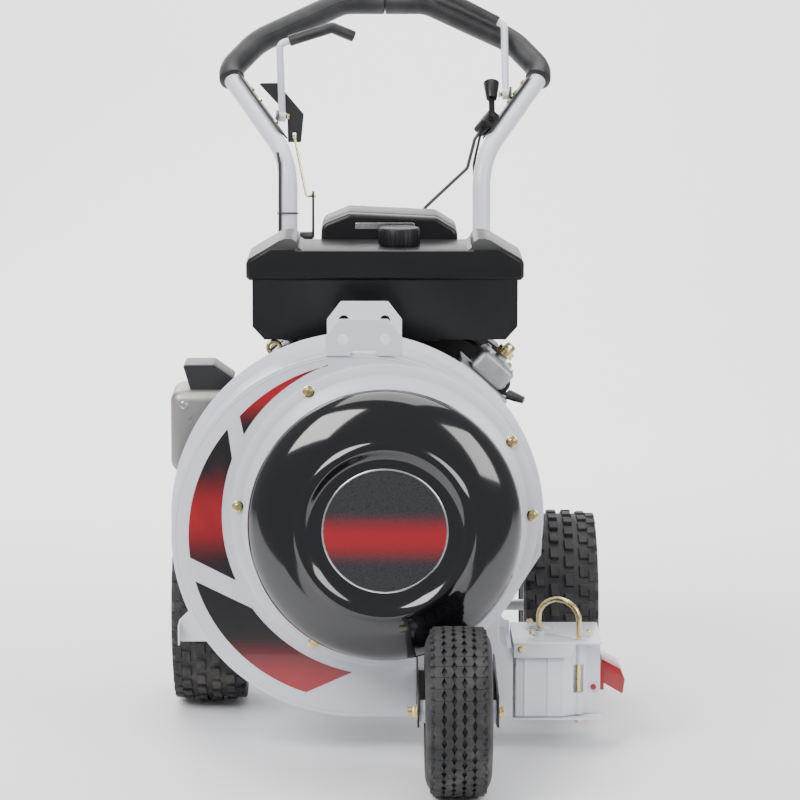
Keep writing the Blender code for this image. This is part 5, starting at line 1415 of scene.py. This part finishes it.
class BLOWER_OT_engine(bpy.types.Operator):
    """The engine: case, finned cylinders, covers, shroud, air cleaner, starter and muffler"""

    bl_idname = "blower.engine"
    bl_label = "Engine"
    bl_options = {"REGISTER"}

    def execute(self, context):
        refine("crankcase", CHASSIS, "casting", 0.0040)
        refine("tank_bracket", CHASSIS, "enamel", 0.0010)
        refine("engine_shroud", CHASSIS, "plastic", 0.0030)
        refine("recoil_cover", CHASSIS, "plastic", 0.0012)
        refine("starter_grip", "starter_grip", "plastic", 0.0024)
        for side, word, y in BANKS:
            self.cylinder(side, word, y)
            refine(f"valve_cover_{word}", CHASSIS, "alloy", 0.0030)
            self.cover_bolts(side, word, y)
        self.oil_cap()
        self.cleaner()
        self.muffler()
        self.trim()
        return {"FINISHED"}

    def bank(self, side, y):
        """The frame of one cylinder, whose z axis runs out along its bore."""
        return Matrix.Translation((0, y, FAN_Z)) @ Matrix.Rotation(side * BANK_LEAN, 4, "Y")

    def cylinder(self, side, word, y):
        """The barrel and head as a core with square fins round it."""
        wide = 0.052
        half = 0.060
        seat = 0.0955
        first = 0.1400
        head_low = 0.2380
        count = sizes().fins
        core = block("core", (0.013 - wide, 0.004 - half, seat), (wide - 0.013, half - 0.004, 0.2490), 0.006)
        foot = block("foot", (-wide, -half, seat), (wide, half, 0.1360), 0.004)
        head = block("head", (-wide, -half, head_low), (wide, half, 0.2494), 0.003)
        pitch = (head_low - first) / count
        fin = ((-wide, -half, first + pitch * 0.30), (wide, half, first + pitch * 0.62))
        fin = block("fin", *fin, 0.0009, 2)
        fins = row_of("fins", fin, count, (0, 0, pitch), "alloy")
        obj = merged([core, foot, head, fins], f"cylinder_{word}_finished")
        settle(moved(obj, self.bank(side, y)), CHASSIS, "alloy", f"cylinder_{word}", angle=30)

    def cover_bolts(self, side, word, y):
        bank = self.bank(side, y)
        out = bank.to_3x3() @ Z
        places = []
        for across in (-0.024, 0.024):
            for along in (-0.034, 0.034):
                places.append((bank @ Vector((across, along, 0.2895)), out, 0.0085))
        fasteners(f"cover_bolts_{word}", CHASSIS, "bright", places)

    def oil_cap(self):
        side, _, y = BANKS[1]
        bank = self.bank(side, y)
        profile = [
            (0, 0.0140), (0.0095, 0.0140), (0.0100, 0.0128), (0.0118, 0.0122), (0.0146, 0.0118),
            (0.0150, 0.0108)
        ]
        profile += [(0.0150, 0.0012), (0.0142, 0.0003), (0, 0.0003)]
        cap = lathe("oil_cap_body", profile, (0, 0, 0), Z, 48)
        notch = block("notch", (0.0142, -0.0014, 0.001), (0.0156, 0.0014, 0.011), 0.0004, 1)
        grips = ring_of("cap_grips", notch, 16, "zinc", (0, 0, 0), Z)
        edge = [(-0.0100, 0.012), (0.0100, 0.012), (0.0080, 0.0228), (-0.0080, 0.0228)]
        ear = [rounded_loop(edge, 0.004), circle(0.0030, (0, 0.0175), 20)]
        ear = plate("ear", ear, -0.0022, 0.0022, Y, 0.0006)
        obj = merged([cap, grips, ear], "oil_cap_finished")
        seat = Matrix.Translation((0, 0, 0.290 + 0.008 + GAP))
        settle(moved(obj, bank @ seat), "oil_cap", "zinc", "oil_cap", angle=36)

    def cleaner(self):
        low = 0.6604
        outline = [
            (-0.118, low), (0.126, low), (0.124, 0.815), (0.088, 0.8375), (-0.062, 0.8445), (-0.108, 0.826)
        ]
        outline = rounded_loop(outline, 0.016, 8)
        parts = [plate("cleaner_back", [outline], 0.432, 0.545, Y, 0.008)]
        parts.append(plate("cleaner_seal", [inset(outline, 0.004, False)], 0.424, 0.436, Y, 0.001))
        parts.append(plate("cleaner_front", [outline], 0.396, 0.427, Y, 0.006))
        settle(merged(parts, "air_cleaner"), CHASSIS, "gloss", "air_cleaner_cover", angle=40)
        edge = [(-0.052, 0.8180), (0.052, 0.8180), (0.050, 0.8290), (-0.050, 0.8290)]
        strip = plate("blank_plate", [rounded_loop(edge, 0.003)], 0.3945, 0.3965)
        settle(strip, CHASSIS, "brushed")
        profile = [(0, 0.012), (0.008, 0.012), (0.011, 0.009), (0.012, 0.002), (0.012, 0)]
        knob = lathe("cleaner_knob", profile, (-0.030, 0.545, 0.740), Y, 32)
        settle(knob, CHASSIS, "plastic")

    def muffler(self):
        low, high = (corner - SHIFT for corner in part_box("muffler"))
        top = 0.568
        right = -0.235
        body = block("box", (low.x, low.y, low.z), (right, high.y, top), 0.018, 6)
        middle = (low.x + right) / 2
        edge = [(low.y, low.z), (high.y, low.z), (high.y, top), (low.y, top)]
        edge = rounded_loop(edge, 0.018, 8)
        edges = [edge, inset(edge, 0.006, False)]
        seam = plate("seam", edges, middle - 0.0016, middle + 0.0016, X, 0.0006)
        bank = self.bank(-1, 0.305)
        port = bank @ Vector((-0.0523, 0, 0.215))
        outlet = bank @ Vector((-0.082, 0, 0.215))
        inside = Vector((right - 0.010, 0.305, top - 0.060))
        pipe = tube("pipe", rounded([port, outlet, inside], 0.018), 0.0140, 32)
        settle(merged([body, seam, pipe], "muffler_finished"), CHASSIS, "muffler", "muffler", angle=34)
        edge = [
            (-0.325, top - 0.001), (-0.262, top - 0.001), (-0.252, top + 0.018), (-0.286, top + 0.042),
            (-0.338, top + 0.042)
        ]
        hood = plate("muffler_hood", [rounded_loop(edge, 0.004)], low.y + 0.018, high.y - 0.030, Y, 0.0020)
        settle(hood, CHASSIS, "enamel")
        places = [((x, low.y + 0.0005, z), FRONT, 0.0105) for x in (-0.335, -0.258) for z in (0.455, 0.545)]
        fasteners("muffler_bolts", CHASSIS, "bright", places)

    def trim(self):
        """Spark leads and boots, and the lifting eye."""
        for side, word, y in reversed(BANKS):
            bank = self.bank(side, y)
            start = bank @ Vector((side * 0.047, -0.030, 0.2560))
            out = bank.to_3x3() @ Vector((side * 0.8, -0.30, 0.35)).normalized()
            path = [start, start + out * 0.012, start + out * 0.030]
            boot = tube(f"spark_boot_{word}", path, [0.0085, 0.0080, 0.0060], 24)
            settle(boot, CHASSIS, "sheath")
            path = [
                start + out * 0.028, start + out * 0.045, Vector((side * 0.150, y - 0.02, 0.640)),
                Vector((side * 0.100, 0.420, 0.640))
            ]
            settle(tube(f"spark_lead_{word}", rounded(path, 0.016), 0.0035, 16), CHASSIS, "sheath", angle=60)
        eye = [
            (-0.186 + 0.0105 * math.cos(a), 0.262, 0.6330 + 0.0105 * math.sin(a))
            for a in (math.tau * n / 40 for n in range(41))
        ]
        ring = tube("eye_ring", eye, 0.0034, 14, False)
        stem = tube("eye_stem", [(-0.186, 0.262, 0.623), (-0.172, 0.275, 0.590)], 0.0042, 16)
        settle(merged([ring, stem], "lifting_eye"), CHASSIS, "zinc", angle=50)


class BLOWER_OT_tank(bpy.types.Operator):
    """The moulded fuel tank and its ribbed cap"""

    bl_idname = "blower.tank"
    bl_label = "Fuel tank"
    bl_options = {"REGISTER"}

    def execute(self, context):
        refine("fuel_tank", CHASSIS, "gloss", 0.0060, 30)
        centre = middle_of("fuel_cap") - SHIFT
        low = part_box("fuel_cap")[0].z - 0.0003
        profile = [
            (0, 0.0288), (0.0240, 0.0288), (0.0262, 0.0296), (0.0295, 0.0300), (0.0326, 0.0292),
            (0.0342, 0.0268)
        ]
        profile += [(0.0342, 0.0030), (0.0336, 0.0006), (0.0270, 0.0006), (0.0268, 0.0200), (0, 0.0200)]
        body = lathe("cap_body", profile, (0, 0, 0), Z, 96)
        rib = block("cap_rib", (0.0334, -0.0012, 0.002), (0.0351, 0.0012, 0.0262), 0.0005, 2)
        ribs = ring_of("cap_ribs", rib, sizes().cap_ribs, "plastic", (0, 0, 0), Z)
        obj = merged([body, ribs], "fuel_cap_finished")
        obj = moved(obj, Matrix.Translation((centre.x, centre.y, low)))
        settle(obj, "fuel_cap", "plastic", "fuel_cap", angle=36)
        return {"FINISHED"}


# ---------------------------------------------------------------- handle and controls

HANDLE_R = 0.015875
HANDLE_FOOT = Vector((0.171, 0.559, 0.2719))
KNEE = Vector((0.171, 0.650, 0.915))
ELBOW = Vector((0.288, 0.850, 1.055))
HORN = Vector((0.2334, 0.900, 1.109))
BAR_END = Vector((0.0763, 0.930, 1.1797))
DRIVE_PIVOT = Vector((-0.186, 0.790, 0.980))
DRIVE_TOP = Vector((-0.190, 0.785, 1.111))
DRIVE_KNEE = Vector((-0.096, 0.795, 1.140))
DRIVE_END = Vector((-0.058, 0.800, 1.124))
BRAKE_PIVOT = Vector((0.218, 0.790, 1.020))
BRAKE_TOP = Vector((0.218, 0.871, 1.140))
BRAKE_KNEE = Vector((0.130, 0.8885, 1.1845))
BRAKE_END = Vector((0.092, 0.890, 1.198))
BELLCRANK_FACE = -0.1405 - 0.0113


def mirrored(point, side):
    return Vector((side * point[0], point[1], point[2]))


class BLOWER_OT_handle(bpy.types.Operator):
    """The bent handle tube with its moulded grips, the levers and their brackets"""

    bl_idname = "blower.handle"
    bl_label = "Handle"
    bl_options = {"REGISTER"}

    def execute(self, context):
        bends = [0, 0.110, 0.048, 0.085, 0.070, 0]
        corners = [HANDLE_FOOT, KNEE, ELBOW, HORN, BAR_END, Vector((0, BAR_END.y, BAR_END.z))]
        half = rounded(corners, bends, 14)
        path = [mirrored(point, -1) for point in half] + [mirrored(point, 1) for point in reversed(half[:-1])]
        bar = tube("handle_bar", path, HANDLE_R, 36)
        low, high = (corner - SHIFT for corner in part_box("bellcrank"))
        pin = Vector(((low.x + high.x) / 2, 0.664, 0.775))
        lug = [(0.628, 0.742), (0.660, 0.742), (0.673, 0.771), (0.668, 0.784), (0.631, 0.784)]
        inner = BELLCRANK_FACE
        lug = plate("lug", [rounded_loop(lug, 0.003)], inner - 0.005, inner, X)
        shaft = tube("lug_pin", [(inner - 0.002, pin.y, pin.z), (-0.1265, pin.y, pin.z)], 0.0040, 20)
        settle(merged([bar, lug, shaft], "handle_finished"), CHASSIS, "powder", "handle_tube", angle=40)
        for side, word in ((-1, "left"), (1, "right")):
            self.grip(side, word, half)
        self.drive_lever()
        self.brake_lever()
        for word in ("left", "right"):
            refine(f"control_bracket_{word}", CHASSIS, "enamel", 0.0006)
        self.bolts()
        return {"FINISHED"}

    def grip(self, side, word, half):
        """A moulded grip with a raised seam along it and a rolled lip at its end."""
        run = [mirrored(point, side) for point in half[17:]]
        run[-1] = Vector((side * 0.0005, BAR_END.y, BAR_END.z))
        radii = [0.0225] * len(run)
        lip = [0.0200, 0.0228, 0.0232, 0.0226]
        radii[: len(lip)] = lip
        body = tube(f"grip_{word}_finished", run, radii, 40)
        settle(body, CHASSIS, "grip", f"grip_{word}", angle=50)
        seam = [point + Vector((0, -0.0216, 0.0052)) for point in run[6:-1]]
        settle(tube(f"grip_seam_{word}", seam, 0.0011, 10), CHASSIS, "grip", angle=60)

    def lever(self, name, corners, share):
        """A bent rod with its eye, and the sleeve over the rod's hand end."""
        rod = tube(name + "_rod", rounded(corners, 0.012), 0.0065, 24)
        eye = tube(name + "_eye", [corners[0] - X * 0.0065, corners[0] + X * 0.0065], 0.0100, 32)
        settle(merged([rod, eye], name + "_finished"), name, "powder", name, angle=40)
        start = corners[1].lerp(corners[2], share)
        end = corners[3] + (corners[3] - corners[2]) * 0.05
        sleeve = rounded([start, corners[2], end], 0.012)
        settle(tube(name + "_sleeve", sleeve, 0.0100, 28), name, "grip", angle=50)

    def drive_lever(self):
        face = DRIVE_PIVOT.y + 0.004
        edge = [
            (-0.176, 0.933), (-0.152, 0.933), (-0.147, 0.984), (-0.195, 1.0405), (-0.229, 1.040),
            (-0.177, 0.984)
        ]
        slot = [(-0.1669, 0.9396), (-0.1611, 0.9396), (-0.1611, 0.9504), (-0.1669, 0.9504)]
        edges = [rounded_loop(edge, 0.002), rounded_loop(slot, 0.0015)]
        settle(plate("lever_crank", edges, face - SHEET, face), "drive_lever", "enamel")
        self.lever("drive_lever", [DRIVE_PIVOT, DRIVE_TOP, DRIVE_KNEE, DRIVE_END], 0.18)

    def brake_lever(self):
        self.lever("brake_lever", [BRAKE_PIVOT, BRAKE_TOP, BRAKE_KNEE, BRAKE_END], 0.14)

    def bolts(self):
        places = []
        for side, shares in ((-1, (0.34, 0.60, 0.72)), (1, (0.58, 0.68, 0.80))):
            low = mirrored(KNEE, side)
            along = (mirrored(ELBOW, side) - low).normalized()
            inward = Vector((-side * along.z, 0, side * along.x)).normalized()
            inward *= -side * math.copysign(1, inward.x)
            for share in shares:
                spot = low + along * (ELBOW - KNEE).length * share + inward * 0.0190
                places.append((spot, inward, 0.0105))
            pivot = DRIVE_PIVOT if side < 0 else BRAKE_PIVOT
            places.append((pivot - X * side * 0.0085, (-side, 0, 0), 0.0105))
            places.append((Vector((side * 0.176, 0.553, 0.310)) + X * side * 0.0195, (side, 0, 0), 0.0110))
        fasteners("handle_bolts", CHASSIS, "zinc", places)


class BLOWER_OT_controls(bpy.types.Operator):
    """Throttle, bellcrank, link rod and cables"""

    bl_idname = "blower.controls"
    bl_label = "Controls"
    bl_options = {"REGISTER"}

    def execute(self, context):
        refine("throttle_box", CHASSIS, "plastic", 0.0006)
        refine("throttle_lever", "throttle_lever", "gloss", 0.0006)
        refine("bellcrank", "bellcrank", "enamel", 0.0008)
        self.link()
        self.cables()
        return {"FINISHED"}

    def link(self):
        top = Vector((-0.164, 0.7925, 0.945))
        foot = Vector((-0.128, 0.664, 0.848))
        path = [top + Y * 0.009, top - Y * 0.012, foot - X * 0.012, foot + X * 0.005]
        rod = tube("link_rod_finished", rounded(path, 0.005), 0.0024, 16)
        settle(rod, "link_rod", "zinc", "link_rod", angle=60)

    def cables(self):
        low = KNEE
        along = (ELBOW - low).normalized()
        inward = Vector((-along.z, 0, along.x)).normalized()
        centre = low + along * 0.0787 + inward * (HANDLE_R + GAP * 2 + SHEET + 0.011)
        start = centre - along * 0.0203
        path = [
            start, start - along * 0.030, (0.146, 0.640, 0.900), (0.070, 0.585, 0.835),
            (0.055, 0.5733, 0.790), (0.055, 0.5453, 0.790)
        ]
        cable = tube("throttle_cable_finished", rounded(path, 0.018, 12), 0.0030, 16)
        settle(cable, CHASSIS, "sheath", "throttle_cable", angle=60)
        x = BELLCRANK_FACE - 0.0025
        run = Vector((-0.086, 0.449, 0.2145))
        path = [
            (x, 0.648, 0.7417), (x, 0.636, 0.60), (-0.125, 0.565, 0.400), (run.x, 0.529, 0.300),
            (run.x, 0.529, run.z)
        ]
        path += [run, run + X * 0.022]
        cable = tube("drive_cable_finished", rounded(path, 0.018, 12), 0.0030, 16)
        settle(cable, CHASSIS, "sheath", "drive_cable", angle=60)
        path = [
            (0.170, 0.690, 0.955), (0.158, 0.668, 0.905), (0.160, 0.652, 0.860), (0.165, 0.640, 0.790),
            (0.150, 0.600, 0.700), (0.120, 0.546, 0.640)
        ]
        settle(tube("stop_cable", rounded(path, 0.030, 12), 0.0024, 14), CHASSIS, "sheath", angle=60)
        self.strapped_cable()

    def strapped_cable(self):
        """The switch cable that runs down the left leg, with the strap that holds it there."""
        foot = mirrored(HANDLE_FOOT, -1)
        knee = mirrored(KNEE, -1)
        along = (knee - foot).normalized()
        ahead = X.cross(along).normalized()
        ahead *= -math.copysign(1, ahead.y)
        beside = (ahead * 0.6 - X * 0.8) * (HANDLE_R + 0.0034)
        run = [foot.lerp(knee, share) + beside for share in (0.985, 0.90, 0.80, 0.72)]
        run = [knee + Z * 0.012 + beside - X * 0.004] + run
        settle(tube("switch_cable", rounded(run, 0.020, 10), 0.0026, 14), CHASSIS, "sheath", angle=60)
        strap = []
        middle = foot.lerp(knee, 0.852)
        for step in range(49):
            angle = math.tau * step / 48
            bulge = 0.0040 * max(0.0, math.cos(angle - math.atan2(0.6, 0.8))) ** 3
            reach = 0.0172 + bulge
            strap.append(middle + (ahead * math.sin(angle) - X * math.cos(angle)) * reach)
        settle(tube("cable_strap", strap, 0.0014, 8, False), CHASSIS, "sheath", angle=60)


class BLOWER_OT_stage(bpy.types.Operator):
    """Floor, soft lights and the camera"""

    bl_idname = "blower.stage"
    bl_label = "Stage"
    bl_options = {"REGISTER"}

    def execute(self, context):
        self.floor()
        self.lights()
        self.camera(context)
        return {"FINISHED"}

    def floor(self):
        """A floor that curves up into a wall behind."""
        path = [(-1.0, 0.0), (3.0, 0.0)]
        for step in range(1, 17):
            angle = math.radians(90) * step / 16
            path.append((3.0 + 2.5 * math.sin(angle), 2.5 - 2.5 * math.cos(angle)))
        path.append((5.5, 9.0))
        points = [(side * 9.0, y, z - 0.0004) for y, z in path for side in (-1, 1)]
        faces = [(n, n + 1, n + 3, n + 2) for n in range(0, len(points) - 2, 2)]
        obj = mesh_object("studio_floor", points, faces)
        shade(obj.data, 60)
        obj.data.materials.append(finish_of("floor"))

    def light(self, name, place, aim, size, power, tall=None):
        data = bpy.data.lights.new(name, "AREA")
        data.shape = "RECTANGLE"
        data.size = size
        data.size_y = tall or size
        data.energy = power
        obj = bpy.data.objects.new(name, data)
        bpy.context.scene.collection.objects.link(obj)
        obj.location = place
        obj.rotation_mode = "QUATERNION"
        obj.rotation_quaternion = (Vector(aim) - Vector(place)).to_track_quat("-Z", "Y")
        return obj

    def lights(self):
        stage = bpy.context.scene.blower_stage
        self.light("key_light", (-2.2, -2.6, 3.4), (0, 0, 0.5), 2.4, stage.key_power)
        self.light("side_light", (2.8, -2.4, 2.2), (0, 0, 0.5), 1.8, stage.fill_power, 2.2)
        self.light("top_light", (0.2, 0.6, 4.2), (0, 0.1, 0.4), 3.4, 120)
        self.light("back_light", (-1.5, 3.4, 2.6), (0, 0.2, 0.7), 2.0, 50)
        self.light("wall_light", (0.0, 1.9, 3.9), (0, 5.4, 1.6), 4.5, 330, 1.2)
        world = bpy.data.worlds.new("studio_air")
        world.use_nodes = True
        world.node_tree.nodes["Background"].inputs["Color"].default_value = (0.90, 0.93, 1.0, 1)
        world.node_tree.nodes["Background"].inputs["Strength"].default_value = 0.42
        bpy.context.scene.world = world

    def camera(self, context):
        data = bpy.data.cameras.new("main_camera")
        data.sensor_width = 36
        camera = bpy.data.objects.new("main_camera", data)
        context.scene.collection.objects.link(camera)
        camera.location = CAMERA_PLACE
        camera.rotation_euler = (math.radians(90) - CAMERA_PITCH, 0, 0)
        data.lens = CAMERA_LENS
        data.shift_x = CAMERA_SHIFT[0]
        data.shift_y = CAMERA_SHIFT[1]
        context.scene.camera = camera


CAMERA_PLACE = SHIFT + Vector((0.0, -5.65, 1.48))
CAMERA_PITCH = math.radians(9.0)
CAMERA_LENS = 160
CAMERA_SHIFT = (0.01875, 0.0)


class BLOWER_PT_panel(bpy.types.Panel):
    """Lists the pieces of the blower and its settings"""

    bl_idname = "BLOWER_PT_panel"
    bl_label = "Leaf blower"
    bl_space_type = "VIEW_3D"
    bl_region_type = "UI"
    bl_category = "Blower"

    def draw(self, context):
        for group in (context.scene.blower_paint, context.scene.blower_sizes, context.scene.blower_stage):
            box = self.layout.box()
            for name in group.bl_rna.properties.keys():
                if name not in ("rna_type", "name"):
                    box.prop(group, name)
        for operator in OPERATORS:
            self.layout.operator(operator.bl_idname)


OPERATORS = (
    BLOWER_OT_scroll,
    BLOWER_OT_intake,
    BLOWER_OT_drive,
    BLOWER_OT_wheels,
    BLOWER_OT_chassis,
    BLOWER_OT_outlet,
    BLOWER_OT_engine,
    BLOWER_OT_tank,
    BLOWER_OT_handle,
    BLOWER_OT_controls,
    BLOWER_OT_stage,
)
GROUPS = {"blower_paint": BlowerPaint, "blower_sizes": BlowerSizes, "blower_stage": BlowerStage}


def register():
    for name, group in GROUPS.items():
        bpy.utils.register_class(group)
        setattr(bpy.types.Scene, name, PointerProperty(type=group))
    for item in OPERATORS:
        bpy.utils.register_class(item)
    bpy.utils.register_class(BLOWER_PT_panel)


def unregister():
    bpy.utils.unregister_class(BLOWER_PT_panel)
    for item in reversed(OPERATORS):
        bpy.utils.unregister_class(item)
    for name, group in reversed(GROUPS.items()):
        delattr(bpy.types.Scene, name)
        bpy.utils.unregister_class(group)


def main():
    register()
    for item in OPERATORS:
        group, name = item.bl_idname.split(".")
        if getattr(getattr(bpy.ops, group), name)() != {"FINISHED"}:
            raise RuntimeError(f"{item.bl_label} didn't finish")


if __name__ == "__main__":
    main()
